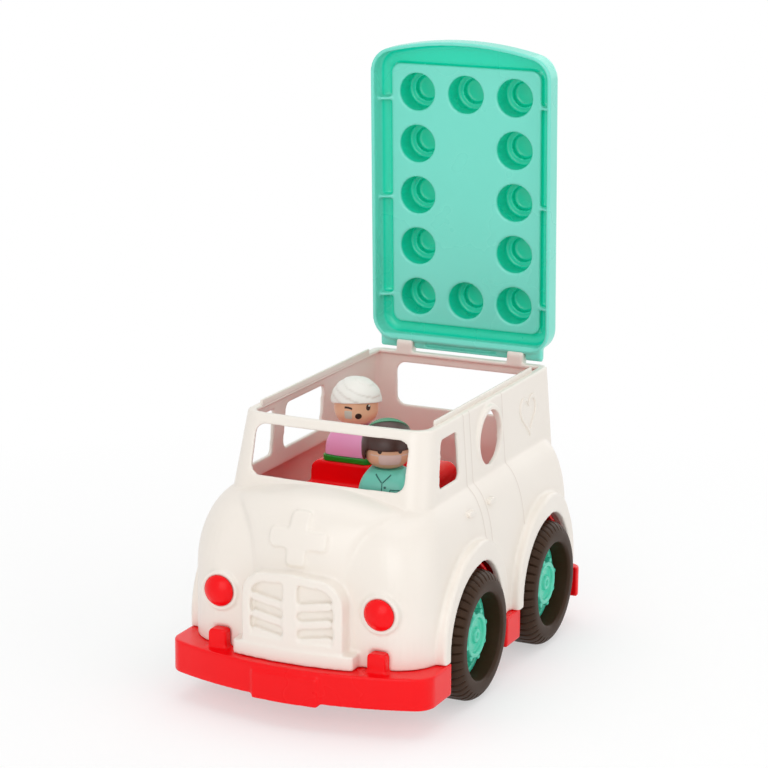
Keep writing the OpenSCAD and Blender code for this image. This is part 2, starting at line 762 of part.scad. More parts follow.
// Red insert: load floor, two seat steps with pegs, and a housing over each wheel
module step_shape(w, top, r) {
    translate([-w / 2, floor_z - pan_t]) square([w, top - floor_z + pan_t - r]);
    translate([r - w / 2, floor_z - pan_t]) square([w - 2 * r, top - floor_z + pan_t]);
    for (s = [-1, 1]) translate([s * (w / 2 - r), top - r]) circle(r);
}
module wheel_housing(r, from, to) {
    rod_x(2 * r, from, to);
    translate([from, -r, pan_z - axle_z]) cube([to - from, 2 * r, axle_z - pan_z]);
}
module cabin_insert() color("red") {
    difference() {
        union() {
            translate([0, 0, floor_z - pan_t]) linear_extrude(pan_t) polygon(outline(floor_w / 2,
                -floor_front_reach, floor_tail_reach, floor_r, floor_r));
            along_y(-step_reach, -bench_reach) step_shape(step_w, step_z, step_r);
            along_y(-bench_reach, bench_l - bench_reach) step_shape(bench_w, bench_z, bench_r);
            both_sides() at_axles() {
                wheel_housing(liner_r, housing_x, liner_end_x);
                rod_x(bearing_d, housing_x - bearing_l, housing_x + root);
            }
        }
        along_y(wall - step_reach, -bench_reach)
            translate([0, -root]) step_shape(step_w - 2 * wall, step_z - wall + root, step_r - wall);
        along_y(-bench_reach - root, bench_l - bench_reach - wall)
            translate([0, -root]) step_shape(bench_w - 2 * wall, bench_z - wall + root, bench_r - wall);
        both_sides() at_axles() {
            rod_x(2 * (liner_r - liner_t), housing_x + housing_wall, track_w);
            translate([housing_x + housing_wall, -track_w / 2, -axle_z]) cube([track_w, track_w, axle_z]);
            rod_x(axle_d + 2 * run_gap, housing_x - bearing_l - overrun, track_w);
        }
        translate([-track_w / 2, -fender_reach, pan_z - tyre_d])
            cube([track_w, fender_reach + tail_reach, tyre_d]);
    }
    for (x = [-peg_x, peg_x]) {
        translate([x, -medic_reach, step_z - root]) cylinder(d = peg_d, h = peg_h + root);
        translate([x, patient_y, bench_z - root]) cylinder(d = peg_d, h = peg_h + root);
    }
}

// Wheels: a rubber tyre with round shoulders and a dished hub with a drum, nubs and a boss
module tyre() rotate([0, 90, 0]) translate([0, 0, tyre_inner_x]) rotate_extrude() {
    bore = tyre_bore_d / 2;
    crown = tyre_d / 2 - tyre_round;
    translate([bore, tyre_lip]) square([tyre_d / 2 - tyre_round - bore, tyre_w - 2 * tyre_lip]);
    translate([bore + tyre_lip, 0]) square([crown - bore - tyre_lip, tyre_w]);
    translate([bore + tyre_lip, tyre_round]) square([tyre_d / 2 - bore - tyre_lip, tyre_w - 2 * tyre_round]);
    for (y = [tyre_lip, tyre_w - tyre_lip]) translate([bore + tyre_lip, y]) circle(tyre_lip);
    intersection() {
        for (y = [tyre_round, tyre_w - tyre_round]) translate([crown, y]) circle(tyre_round);
        translate([crown, 0]) square([tyre_round, tyre_w]);
    }
}
module hub() difference() {
    rotate([0, 90, 0]) {
        translate([0, 0, hub_back_x]) difference() {
            cylinder(d = tyre_bore_d - 2 * tyre_gap, h = hub_t);
            translate([0, 0, hub_t - hub_dish])
                cylinder(d = tyre_bore_d - 2 * hub_ring_w, h = hub_dish + overrun);
        }
        translate([0, 0, hub_back_x]) cylinder(d = drum_d, h = hub_t + drum_h - hub_dish);
        translate([0, 0, spacer_end_x]) cylinder(d = spacer_d, h = hub_face_x - spacer_end_x);
        translate([0, 0, hub_back_x]) cylinder(d = hub_boss_d, h = hub_t + drum_h + hub_boss_h - hub_dish);
        for (i = [0 : nub_count - 1]) rotate(360 * i / nub_count)
            translate([drum_d / 2, 0, hub_back_x]) cylinder(d = nub_d, h = hub_t + drum_h - hub_dish - nub_h);
    }
    rod_x(axle_d + 2 * press_gap, spacer_end_x - overrun, axle_half_l);
}
module axle() rod_x(axle_d, -axle_half_l + run_gap, axle_half_l - run_gap);
module at_front() translate([0, -front_axle_reach, axle_z]) children();
module at_rear() translate([0, rear_axle_reach, axle_z]) children();
module front_axle() color("silver") at_front() axle();
module rear_axle() color("silver") at_rear() axle();
module hub_front_left() color("mediumaquamarine") at_front() hub();
module hub_front_right() color("mediumaquamarine") at_front() mirror([1, 0, 0]) hub();
module hub_rear_left() color("mediumaquamarine") at_rear() hub();
module hub_rear_right() color("mediumaquamarine") at_rear() mirror([1, 0, 0]) hub();
module tyre_front_left() color("darkslategray") at_front() tyre();
module tyre_front_right() color("darkslategray") at_front() mirror([1, 0, 0]) tyre();
module tyre_rear_left() color("darkslategray") at_rear() tyre();
module tyre_rear_right() color("darkslategray") at_rear() mirror([1, 0, 0]) tyre();

// Roof lid: a skirt, a rounded roof edge, a sunken tray and hollow two-step studs, hinged at the rear
function lid_outline(inset) = outline(lid_w / 2 - inset, lid_front_y + inset, lid_tail_y - inset,
    lid_r - inset, lid_tail_r - inset, lid_bow, 0);
module lid_shell(inset, foot) {
    top = roof_z - inset;
    loft(concat(
        [[lid_outline(inset), foot]],
        [for (i = [0 : shoulder_steps - 2]) let (a = 90 * i / (shoulder_steps - 2))
            [lid_outline(inset + lid_round * (1 - cos(a))), top - lid_round + lid_round * sin(a)]]
    ));
}
module tray_block(inset, from, to)
    translate([0, stud_mid_y, from]) linear_extrude(to - from)
        round_rect(panel_w - 2 * inset, panel_l - 2 * inset, panel_r - inset);
module at_studs() for (i = [0 : stud_cols - 1], j = [0 : stud_rows - 1])
    if (i != 1 || j == 0 || j == stud_rows - 1)
        translate([
            (i - (stud_cols - 1) / 2) * stud_pitch,
            stud_mid_y + (j - (stud_rows - 1) / 2) * stud_pitch,
            0
        ]) children();
module stud() translate([0, 0, tray_z - root]) {
    round_post(stud_d / 2, stud_h + root, 0, stud_edge);
    round_post(boss_d / 2, stud_h + boss_h + root, 0, stud_edge);
}
module socket() translate([0, 0, panel_z - overrun]) {
    cylinder(d = socket_d, h = overrun + stud_h);
    cylinder(d = socket_boss_d, h = overrun + stud_h + boss_h);
}
module hinge_strip() difference() {
    translate([0, hinge_reach, hinge_z]) {
        rod_x(hinge_bar_d, -strip_w / 2, strip_w / 2);
        translate([-strip_w / 2, -lid_back - root, -hinge_bar_d / 2])
            cube([strip_w, lid_back + root, hinge_bar_d]);
    }
    translate([-strip_slot_w / 2, lid_tail_y + root, hinge_z - hinge_bar_d / 2 - overrun])
        cube([strip_slot_w, lid_back, overrun + strip_slot_d]);
    both_sides() translate([lug_x - lug_w / 2 - pass_gap, hinge_reach, hinge_z]) difference() {
        translate([0, -lid_back, -lug_d]) cube([lug_w + 2 * pass_gap, lid_back + lug_d, 2 * lug_d]);
        rod_x(hinge_bar_d, -overrun, lug_w + overrun);
    }
}
module lid_ribs() {
    length = lid_w / 2 - lid_wall - panel_w / 2;
    for (t = rib_at_shares)
        translate([panel_w / 2 - root, lid_tail_y - t * lid_l - rib_t / 2, roof_z - lid_wall - rib_h])
            cube([length + 2 * root, rib_t, rib_h]);
}
module lid_closed() {
    difference() {
        union() {
            difference() {
                lid_shell(0, skirt_z);
                lid_shell(lid_wall, skirt_z - overrun);
            }
            tray_block(0, panel_z, roof_z - root);
            both_sides() lid_ribs();
        }
        tray_block(lid_wall, tray_z, roof_z + overrun);
        at_studs() socket();
    }
    difference() {
        at_studs() stud();
        at_studs() socket();
    }
    hinge_strip();
}
module roof_lid() color("turquoise")
    translate([0, hinge_reach, hinge_z]) rotate([-lid_open, 0, 0]) translate([0, -hinge_reach, -hinge_z])
        lid_closed();

// Figures: a base that drops over a peg, a tapered torso with a neck, and a round head that turns on it
function torso_outline(u) =
    let (
        w = figure_w + (torso_top_w - figure_w) * pow(u, torso_power),
        d = figure_d + (torso_top_d - figure_d) * pow(u, torso_power),
        r = base_r + (torso_top_r - base_r) * u
    )
    outline(w / 2, -d / 2, d / 2, r, r, torso_bow, torso_bow);
module figure_base() difference() {
    linear_extrude(base_h) round_rect(base_w, base_w, base_r);
    translate([0, 0, -overrun]) cylinder(d = peg_d + 2 * lay_gap, h = base_h + 2 * overrun);
}
module figure_torso() {
    loft([for (i = [0 : torso_steps]) let (u = i / torso_steps) [torso_outline(u), base_h + torso_h * u]]);
    translate([0, 0, neck_z - root]) cylinder(d = neck_d, h = neck_h + root);
}
module at_chin() translate([0, 0, neck_z + head_gap]) children();
module figure_head() at_chin() difference() {
    round_post(head_d / 2, head_h, head_round, crown_round);
    translate([0, 0, -overrun]) cylinder(d = neck_d + 2 * run_gap, h = neck_h + overrun);
}
// Shell over the whole head, and the space under a plane across it whose front edge is raised by a tilt
module crown_shell() difference() {
    round_post(head_d / 2 + hair_t, head_h + crown_t, head_round, hair_round);
    round_post(head_d / 2 + press_gap, head_h + press_gap, head_round, crown_round);
}
module below(h, tilt) translate([0, 0, h]) rotate([-tilt, 0, 0])
    translate([-head_d, -head_d, -2 * head_d]) cube(2 * head_d);
module medic_at(turn) translate([figure_x, -medic_reach, medic_base_z]) rotate(turn) children();
module patient_at(turn) translate([-figure_x, patient_y, patient_base_z]) rotate(turn) children();

module patient_base() color("green") patient_at(0) figure_base();
module patient_torso() color("pink") patient_at(0) figure_torso();
module patient_head() color("peachpuff") patient_at(patient_look) figure_head();
module patient_bandage() color("white") patient_at(patient_look) at_chin() difference() {
    crown_shell();
    below(bandage_h, bandage_tilt);
}
module medic_base() color("teal") medic_at(medic_turn) figure_base();
module medic_torso() color("turquoise") medic_at(medic_turn) figure_torso();
module medic_head() color("peachpuff") medic_at(medic_look) figure_head();
// Hair down to the nape, cut away for the face under the fringe, and a cap on the back of the crown
module medic_hair() color("saddlebrown") medic_at(medic_look) at_chin() difference() {
    intersection() {
        crown_shell();
        below(cap_h, cap_tilt);
    }
    below(nape_h, 0);
    translate([-face_w / 2, -head_d, -overrun]) cube([face_w, head_d, fringe_h + overrun]);
}
module medic_cap() color("seagreen") medic_at(medic_look) at_chin() difference() {
    crown_shell();
    below(cap_h, cap_tilt);
}

translate([0, frame_y, 0]) {
    body_shell();
    chassis();
    cabin_insert();
    roof_lid();
    headlamp_left();
    headlamp_right();
    body_screws();
    front_axle();
    hub_front_left();
    hub_front_right();
    tyre_front_left();
    tyre_front_right();
    rear_axle();
    hub_rear_left();
    hub_rear_right();
    tyre_rear_left();
    tyre_rear_right();
    patient_base();
    patient_torso();
    patient_head();
    patient_bandage();
    medic_base();
    medic_torso();
    medic_head();
    medic_hair();
    medic_cap();
}
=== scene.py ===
import math

import bmesh
import bpy
from mathutils import Matrix, Vector


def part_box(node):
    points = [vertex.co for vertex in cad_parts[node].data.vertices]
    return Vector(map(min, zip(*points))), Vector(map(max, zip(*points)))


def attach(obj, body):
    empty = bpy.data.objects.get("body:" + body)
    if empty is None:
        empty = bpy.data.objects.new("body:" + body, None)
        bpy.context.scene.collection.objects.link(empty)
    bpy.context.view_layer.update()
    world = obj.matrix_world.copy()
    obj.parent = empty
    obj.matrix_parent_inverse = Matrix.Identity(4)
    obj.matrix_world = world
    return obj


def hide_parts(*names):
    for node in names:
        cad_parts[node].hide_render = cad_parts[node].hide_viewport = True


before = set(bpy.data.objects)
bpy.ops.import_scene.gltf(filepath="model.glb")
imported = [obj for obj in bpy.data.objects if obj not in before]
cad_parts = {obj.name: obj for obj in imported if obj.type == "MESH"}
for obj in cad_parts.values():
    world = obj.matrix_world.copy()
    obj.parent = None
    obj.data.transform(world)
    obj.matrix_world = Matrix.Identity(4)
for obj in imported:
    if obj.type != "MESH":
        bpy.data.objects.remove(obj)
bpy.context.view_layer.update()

# Chassis
# The red pan under the toy with both bumpers, one injection moulding in ABS.
# Four screws from below pull it against the body, and two snap tabs stand in front of the fenders.

# Sizes are millimetres from a datum in the middle of the body; the front axle gives its place in the frame
front_axle_y = -39.6
rear_axle_y = 67.8
axle_low, axle_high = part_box("front_axle")
datum_y = (axle_low.y + axle_high.y) * 500 - front_axle_y


def solid(name, points, faces):
    """Closed mesh from millimetre points."""
    mesh = bpy.data.meshes.new(name)
    mesh.from_pydata([(x / 1000, (y + datum_y) / 1000, z / 1000) for x, y, z in points], [], faces)
    draft = bmesh.new()
    draft.from_mesh(mesh)
    bmesh.ops.recalc_face_normals(draft, faces=draft.faces)
    draft.to_mesh(mesh)
    draft.free()
    mesh.shade_smooth()
    piece = bpy.data.objects.new(name, mesh)
    bpy.context.scene.collection.objects.link(piece)
    return piece


def loft(name, rings):
    """Closed skin through a stack of outlines with the same count of points."""
    count = len(rings[0])
    faces = [list(range(count)), [(len(rings) - 1) * count + i for i in range(count)]]
    for k in range(len(rings) - 1):
        for i in range(count):
            j = (i + 1) % count
            faces.append((k * count + i, k * count + j, (k + 1) * count + j, (k + 1) * count + i))
    return solid(name, [p for ring in rings for p in ring], faces)


def prism(name, outline, start, end, axis):
    """Flat outline carried from start to end along x, y or z."""
    order = {"x": (2, 0, 1), "y": (0, 2, 1), "z": (0, 1, 2)}[axis]
    rings = []
    for w in (start, end):
        rings.append([tuple((u, v, w)[i] for i in order) for u, v in outline])
    return loft(name, rings)


def half_end(half_width, radius, bow):
    """Half of a bowed end that runs into a round corner, as places out from the middle and back."""
    across = half_width - radius
    big = (across * across + bow * bow) / (2 * bow)
    back = big - math.sqrt((big - radius) ** 2 - across ** 2)
    meet = math.asin(across / (big - radius))
    points = []
    for i in range(8):
        a = meet * i / 8
        points.append((big * math.sin(a), big - big * math.cos(a)))
    for i in range(11):
        a = meet + (math.pi / 2 - meet) * i / 10
        points.append((across + radius * math.sin(a), back - radius * math.cos(a)))
    return points


def plan_outline(half_width, front, tail, front_radius, tail_radius, front_bow=0.05, tail_bow=0.05):
    """Whole plan outline, anticlockwise from the middle of its front."""
    right = [(x, front + d) for x, d in half_end(half_width, front_radius, front_bow)]
    right += [(x, tail - d) for x, d in reversed(half_end(half_width, tail_radius, tail_bow))]
    return right + [(-x, y) for x, y in reversed(right[1:-1])]


def arc(mid, radius, start, end, steps):
    """Points on an arc between two angles in degrees."""
    angles = [math.radians(start + (end - start) * i / steps) for i in range(steps + 1)]
    return [(mid[0] + radius * math.cos(a), mid[1] + radius * math.sin(a)) for a in angles]


def moulded(name, base, steps, voxel, rounds):
    """Solids joined and cut in turn, then given the small even edge rounding of a moulding."""
    for k, (action, other) in enumerate(steps):
        cut = base.modifiers.new(f"step{k}", "BOOLEAN")
        cut.object = other
        cut.operation = action
        cut.solver = "MANIFOLD"
    skin = base.modifiers.new("skin", "REMESH")
    skin.mode = "VOXEL"
    skin.voxel_size = voxel / 1000
    edge = base.modifiers.new("edge", "SMOOTH")
    edge.factor = 0.5
    edge.iterations = rounds
    mesh = bpy.data.meshes.new_from_object(base.evaluated_get(bpy.context.evaluated_depsgraph_get()))
    for used in [base] + [other for _, other in steps]:
        bpy.data.objects.remove(used)
    mesh.name = name
    mesh.materials.clear()
    mesh.shade_smooth()
    piece = bpy.data.objects.new(name, mesh)
    bpy.context.scene.collection.objects.link(piece)
    return piece


def linear(colour):
    """Linear colour of an sRGB hex value."""
    parts = [int(colour[i:i + 2], 16) / 255 for i in (1, 3, 5)]
    return [p / 12.92 if p <= 0.04045 else ((p + 0.055) / 1.055) ** 2.4 for p in parts] + [1]


def add(owner, kind, settings, links):
    """Node of a material or world, with its settings and with links from other nodes' outputs."""
    node = owner.node_tree.nodes.new(kind)
    for key, value in settings.items():
        if isinstance(key, int) or key in node.inputs:
            node.inputs[key].default_value = value
        else:
            setattr(node, key, value)
    for key, source in links.items():
        owner.node_tree.links.new(source, node.inputs[key])
    return node


def moulded_plastic(name, colour, shade, roughness, ior=1.54, flow=45, peel=1.2):
    """Moulded plastic: faint flow clouds in the colour, an uneven gloss and a slight orange peel.
    Flow clouds and peel are given as sizes in millimetres; the peel is drawn coarse enough to show."""
    material = bpy.data.materials.new(name)
    material.use_nodes = True
    shader = material.node_tree.nodes["Principled BSDF"]
    shader.inputs["IOR"].default_value = ior
    place = add(material, "ShaderNodeTexCoord", {}, {})
    spot = {"Vector": place.outputs["Object"]}
    clouds = add(material, "ShaderNodeTexNoise", {"Scale": 1000 / flow, "Detail": 3.0}, spot)
    tint = add(material, "ShaderNodeMix", {"data_type": "RGBA", 6: linear(colour), 7: linear(shade)},
               {0: clouds.outputs["Fac"]})
    fine = add(material, "ShaderNodeTexNoise", {"Scale": 1000 / peel, "Detail": 2.0}, spot)
    gloss = add(material, "ShaderNodeMapRange", {"To Min": roughness - 0.05, "To Max": roughness + 0.05},
                {"Value": clouds.outputs["Fac"]})
    bump = add(material, "ShaderNodeBump", {"Strength": 0.08, "Distance": 0.0001},
               {"Height": fine.outputs["Fac"]})
    material.node_tree.links.new(tint.outputs[2], shader.inputs["Base Color"])
    material.node_tree.links.new(gloss.outputs["Result"], shader.inputs["Roughness"])
    material.node_tree.links.new(bump.outputs["Normal"], shader.inputs["Normal"])
    return material


# Red ABS, polished mould: saturated colour with a clear soft highlight
red_abs = moulded_plastic("red_ABS_polished", "#F8040F", "#F2030D", 0.26)
red_abs.node_tree.nodes["Principled BSDF"].inputs["Specular IOR Level"].default_value = 0.2

bumper_half_width = 80.3
bumper_front = -130
bumper_bow = 12
bumper_corner = 12
underside_z = 16.6
body_foot_z = 35.2
arch_radius = 43
well_inner_x = 51
clear_x = 120
tab_x = 49
pan_outline = plan_outline(bumper_half_width, bumper_front, 125, bumper_corner, 7, bumper_bow, 5)
pan = prism("pan", pan_outline, underside_z, body_foot_z, "z")
pan_steps = []
for side in (-1, 1):
    for y in (front_axle_y, rear_axle_y):
        well_ends = (y - arch_radius, y + arch_radius)
        well = [(well_inner_x * side, well_ends[0]), (clear_x * side, well_ends[0])]
        well += [(clear_x * side, well_ends[1]), (well_inner_x * side, well_ends[1])]
        pan_steps.append(("DIFFERENCE", prism("well", well, 0, 60, "z")))
    inset = [(78 * side, 2), (clear_x * side, 2), (clear_x * side, 26), (78 * side, 26)]
    pan_steps.append(("DIFFERENCE", prism("sill_inset", inset, 0, 60, "z")))
    tab = [(-5.5, 33), (5.5, 33)] + arc((3, 43.5), 2.5, 0, 90, 6) + arc((-3, 43.5), 2.5, 90, 180, 6)
    tab = [(x + tab_x * side, z) for x, z in tab]
    pan_steps.append(("UNION", prism("tab", tab, -116, -109, "y")))
pan_steps.append(("DIFFERENCE", prism("tray", plan_outline(71.7, -108.7, 112.7, 23.5, 13.5), 19.1, 60, "z")))
plate_half_width = 20.3
plate_x = [plate_half_width * i / 10 for i in range(-10, 11)]
bow_radius = ((bumper_half_width - bumper_corner) ** 2 + bumper_bow ** 2) / (2 * bumper_bow)
plate_back = [(x, bumper_front + x * x / (2 * bow_radius)) for x in plate_x]
plate_outline = [(x, y - 1.5) for x, y in plate_back] + [(x, y + 2) for x, y in reversed(plate_back)]
pan_steps.append(("UNION", prism("plate", plate_outline, 14.8, 31.3, "z")))
chassis = moulded("chassis_moulding", pan, pan_steps, 0.85, 5)
chassis.data.materials.append(red_abs)
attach(chassis, "vehicle")
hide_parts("chassis")

# Body screws and axles
# Plated steel screws and plain drawn wire axles, bought in.
# The screws are driven in from below, and the axles are pressed into the hubs.

# Drawn steel: bright, with lengthwise draw marks that spread the highlight.
# The marks are about 17 mm long and 0.7 mm wide, drawn coarse enough to show
steel = bpy.data.materials.new("drawn_steel")
steel.use_nodes = True
steel_shader = steel.node_tree.nodes["Principled BSDF"]
steel_shader.inputs["Metallic"].default_value = 1
steel_shader.inputs["Base Color"].default_value = linear("#C9CACB")
steel_place = add(steel, "ShaderNodeTexCoord", {}, {})
steel_long = add(steel, "ShaderNodeMapping", {"Scale": (60, 1400, 1400)},
                 {"Vector": steel_place.outputs["Object"]})
steel_marks = add(steel, "ShaderNodeTexNoise", {"Scale": 1.0, "Detail": 3.0},
                  {"Vector": steel_long.outputs["Vector"]})
steel_gloss = add(steel, "ShaderNodeMapRange", {"To Min": 0.22, "To Max": 0.4},
                  {"Value": steel_marks.outputs["Fac"]})
steel.node_tree.links.new(steel_gloss.outputs["Result"], steel_shader.inputs["Roughness"])
for node in ("front_axle", "rear_axle", "body_screws"):
    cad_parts[node].data.materials.clear()
    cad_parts[node].data.materials.append(steel)

# Cabin insert
# The red inner moulding: load floor, front seat step, bench with round pegs and a housing over each wheel.
# It drops into the body from below and is held between body and chassis; the axles run in its walls.

axle_z = 37.6
floor_z = 82
floor_under_z = 79.5
peg_x = 18
front_seat_y = -34
front_seat_z = 108
bench_y = 0
bench_z = 121.5
housing_radius = 42.5
housing_room = 40.5


def turned(name, profile, centre, axis, steps=96):
    """Profile of radius and height pairs turned about an axis; a loop if no radius is zero."""
    points = []
    first = []
    for radius, height in profile:
        first.append(len(points))
        for i in range(steps if radius > 0 else 1):
            a = 2 * math.pi * i / steps
            u, v = radius * math.cos(a), radius * math.sin(a)
            offset = (height, u, v) if axis == "x" else (v, height, u) if axis == "y" else (u, v, height)
            points.append(tuple(c + o for c, o in zip(centre, offset)))
    faces = []
    pairs = list(range(len(profile) - 1))
    if profile[0][0] > 0 and profile[-1][0] > 0:
        pairs.append(len(profile) - 1)
    for k in pairs:
        n = (k + 1) % len(profile)
        for i in range(steps):
            j = (i + 1) % steps
            low = [first[k] + i, first[k] + j] if profile[k][0] > 0 else [first[k]]
            high = [first[n] + j, first[n] + i] if profile[n][0] > 0 else [first[n]]
            faces.append(low + high)
    return solid(name, points, faces)


insert = prism("floor", plan_outline(69.5, -74, 104, 8, 8), floor_under_z, floor_z, "z")
insert_steps = []
for half_width, top, front, back in ((48, front_seat_z, -58, -16), (40, bench_z, -16, 16)):
    section = [(-half_width, floor_under_z), (half_width, floor_under_z)]
    section += arc((half_width - 6, top - 6), 6, 0, 90, 8) + arc((6 - half_width, top - 6), 6, 90, 180, 8)
    insert_steps.append(("UNION", prism("seat", section, front, back, "y")))
for x in (-peg_x, peg_x):
    for y, z in ((front_seat_y, front_seat_z), (bench_y, bench_z)):
        peg = [(0, z - 1), (9.75, z - 1), (9.75, z + 2.2), (8.95, z + 3), (0, z + 3)]
        insert_steps.append(("UNION", turned("peg", peg, (x, y, 0), "z")))
for side in (-1, 1):
    for y in (front_axle_y, rear_axle_y):
        arch = [(y - housing_radius, 19.1), (y + housing_radius, 19.1)]
        arch += arc((y, axle_z), housing_radius, 0, 180, 32)
        arch_ends = sorted((48 * side, 70.7 * side))
        insert_steps.append(("UNION", prism("housing", arch, arch_ends[0], arch_ends[1], "x")))
    for y in (front_axle_y, rear_axle_y):
        hollow = [(y - housing_room, 0), (y + housing_room, 0)]
        hollow += arc((y, axle_z), housing_room, 0, 180, 32)
        hollow_ends = sorted((50.5 * side, 90 * side))
        insert_steps.append(("DIFFERENCE", prism("hollow", hollow, hollow_ends[0], hollow_ends[1], "x")))
cabin = moulded("cabin_moulding", insert, insert_steps, 1.0, 5)
cabin.data.materials.append(red_abs)
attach(cabin, "vehicle")
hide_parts("cabin_insert")

# Wheels
# Soft rubber tyres with a row of short slits round the outer shoulder, stretched over teal ABS hubs.
# Each hub is dished, with a raised drum, a ring of nubs and a boss, and is pressed onto the axle.

tyre_radius = 37.6
tyre_half = 13
tyre_outer_x = 82.3
tyre_mid_x = tyre_outer_x - tyre_half
bore_radius = 25.2
shoulder = 8
slit_count = 43
slit_steps = 14
hub_face_x = 71.3
nub_count = 8
nub_ring = 14


def tyre_piece(name, side, y):
    """Tyre with its slits pressed into the outer shoulder."""
    profile = arc((bore_radius + 2, 2 - tyre_half), 2, 180, 270, 5)
    profile += arc((tyre_radius - shoulder, shoulder - tyre_half), shoulder, -90, 0, 12)
    profile += [(tyre_radius, h) for h in (-2.5, -1, 0.5, 2, 3)]
    profile += arc((tyre_radius - shoulder, tyre_half - shoulder), shoulder, 0, 90, 14)
    profile += arc((bore_radius + 2, tyre_half - 2), 2, 90, 180, 5)
    steps = slit_count * slit_steps
    points = []
    for radius, height in profile:
        over = min(1, max(0, (height - 1) / 2)) * min(1, max(0, (radius - 32.5) / 1.5))
        for i in range(steps):
            a = 2 * math.pi * i / steps
            step = i % slit_steps
            depth = 1.7 * over if step in (6, 7) else 0.3 * over if step in (5, 8) else 0
            r = radius - depth * 0.8
            h = height - depth * 0.5
            points.append((side * (tyre_mid_x + h), y + r * math.cos(a), axle_z + r * math.sin(a)))
    faces = []
    for k in range(len(profile)):
        n = (k + 1) % len(profile)
        for i in range(steps):
            j = (i + 1) % steps
            faces.append((k * steps + i, k * steps + j, n * steps + j, n * steps + i))
    return solid(name, points, faces)


def hub_piece(name, side, y):
    """Hub with its dish, drum, nubs and boss."""
    face = hub_face_x - tyre_mid_x
    drum = face + 6.3
    profile = [(0, face - 8), (25.1, face - 8)] + arc((24.3, face - 0.8), 0.8, 0, 90, 4)
    profile += [(22.6, face), (21.8, face - 0.8), (21.5, face - 2.4), (20.9, face - 3), (15.6, face - 3)]
    profile += [(14.8, face - 2.6), (14.2, face - 1.6), (13.2, drum - 1.1)]
    profile += arc((12.2, drum - 0.9), 0.9, 10, 90, 4)
    profile += [(10.7, drum), (10, drum - 0.5), (9.7, drum - 2.3), (5.2, drum - 2.3), (4.6, drum - 1.8)]
    profile += [(4.3, drum - 0.4), (3.8, drum + 0.1), (2.1, drum + 0.1), (1.7, drum - 0.3)]
    profile += [(1.5, drum - 1.7), (0, drum - 1.7)]
    hub = turned("hub", [(r, side * (tyre_mid_x + h)) for r, h in profile], (0, y, axle_z), "x", 128)
    nubs = []
    for i in range(nub_count):
        a = 2 * math.pi * (i + 0.35) / nub_count
        spot = (0, y + nub_ring * math.cos(a), axle_z + nub_ring * math.sin(a))
        nub = [(0, face - 4), (1.8, face - 4), (1.8, drum - 1.6)] + arc((0.9, drum - 1.4), 0.9, 0, 90, 4)
        nub = [(r, side * (tyre_mid_x + h)) for r, h in nub + [(0, drum - 0.5)]]
        nubs.append(turned("nub", nub, spot, "x", 24))
    return moulded(name, hub, [("UNION", nub) for nub in nubs], 0.45, 3)


# Soft rubber: near black and warm, dull, with a dusty bloom on it
rubber = moulded_plastic("soft_rubber_matt", "#3C2613", "#311D0E", 0.5, 1.5, 14, 0.7)
rubber.node_tree.nodes["Principled BSDF"].inputs["Specular IOR Level"].default_value = 0.2
# Teal ABS of the hubs, a touch deeper than the lid
hub_abs = moulded_plastic("teal_ABS_hub", "#52D8B9", "#48D0B0", 0.25)
for end, y in (("front", front_axle_y), ("rear", rear_axle_y)):
    for side, hand in ((1, "left"), (-1, "right")):
        tyre = tyre_piece(f"tyre_{end}_{hand}_rubber", side, y)
        tyre.data.materials.append(rubber)
        hub = hub_piece(f"hub_{end}_{hand}_moulding", side, y)
        hub.data.materials.append(hub_abs)
        for piece, node, finish in ((tyre, "tyre", "tyre_rubber"), (hub, "hub", "hub_abs")):
            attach(piece, f"{end}_wheels")
            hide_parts(f"{node}_{end}_{hand}")

# Body shell
# One off-white ABS moulding: fenders and bonnet below, a house with open windows above,
# arch flares, grille and lugs. It stands on the bumper and is drawn down by the body screws.

wall = 2.5
side_x = 74.5
shoulder_z = 76
waist_z = 118
rim_z = 160.5
roll_z = 70
crown_z = 80
bonnet_z = 126.5
flare_radius = 51
lamp_x = 49.4
lamp_z = 67.6
porthole_y = 15.3
porthole_z = 139
hinge_y = 113.5
hinge_z = 164.5
lug_inner_x = 31.65
lug_outer_x = 42.35


def round_rect(width, height, radius, mid=(0, 0)):
    """Rectangle with round corners about a point."""
    points = []
    for k, (sx, sy) in enumerate(((1, 1), (-1, 1), (-1, -1), (1, -1))):
        for i in range(9):
            a = math.pi / 2 * (k + i / 8)
            x = mid[0] + sx * (width / 2 - radius) + radius * math.cos(a)
            y = mid[1] + sy * (height / 2 - radius) + radius * math.sin(a)
            points.append((x, y))
    return points


def carved(piece, action, other):
    """Piece joined with, cut by or kept inside another solid, which is used up."""
    step = piece.modifiers.new("carve", "BOOLEAN")
    step.object = other
    step.operation = action
    step.solver = "MANIFOLD"
    mesh = bpy.data.meshes.new_from_object(piece.evaluated_get(bpy.context.evaluated_depsgraph_get()))
    piece.modifiers.clear()
    piece.data = mesh
    bpy.data.objects.remove(other)
    return piece


def lower_body(name, inset, foot):
    """Lower body: upright sides under an elliptic shoulder, with fuller fenders in front."""
    half_width = side_x - inset
    top_half = 57.5 - inset
    top = waist_z + 1.5 - inset
    rings = []
    for i in range(-1, 17):
        a = math.pi / 2 * max(i, 0) / 16
        c = math.cos(a)
        z = foot if i < 0 else shoulder_z + (top - shoulder_z) * math.sin(a)
        outline = plan_outline(top_half + (half_width - top_half) * c, -66 + inset - 45.5 * math.sqrt(c),
                               111 - inset + 6.5 * c, 26 - inset, 16 - inset, 1, 2)
        rings.append([(x, y, z) for x, y in outline])
    return loft(name, rings)


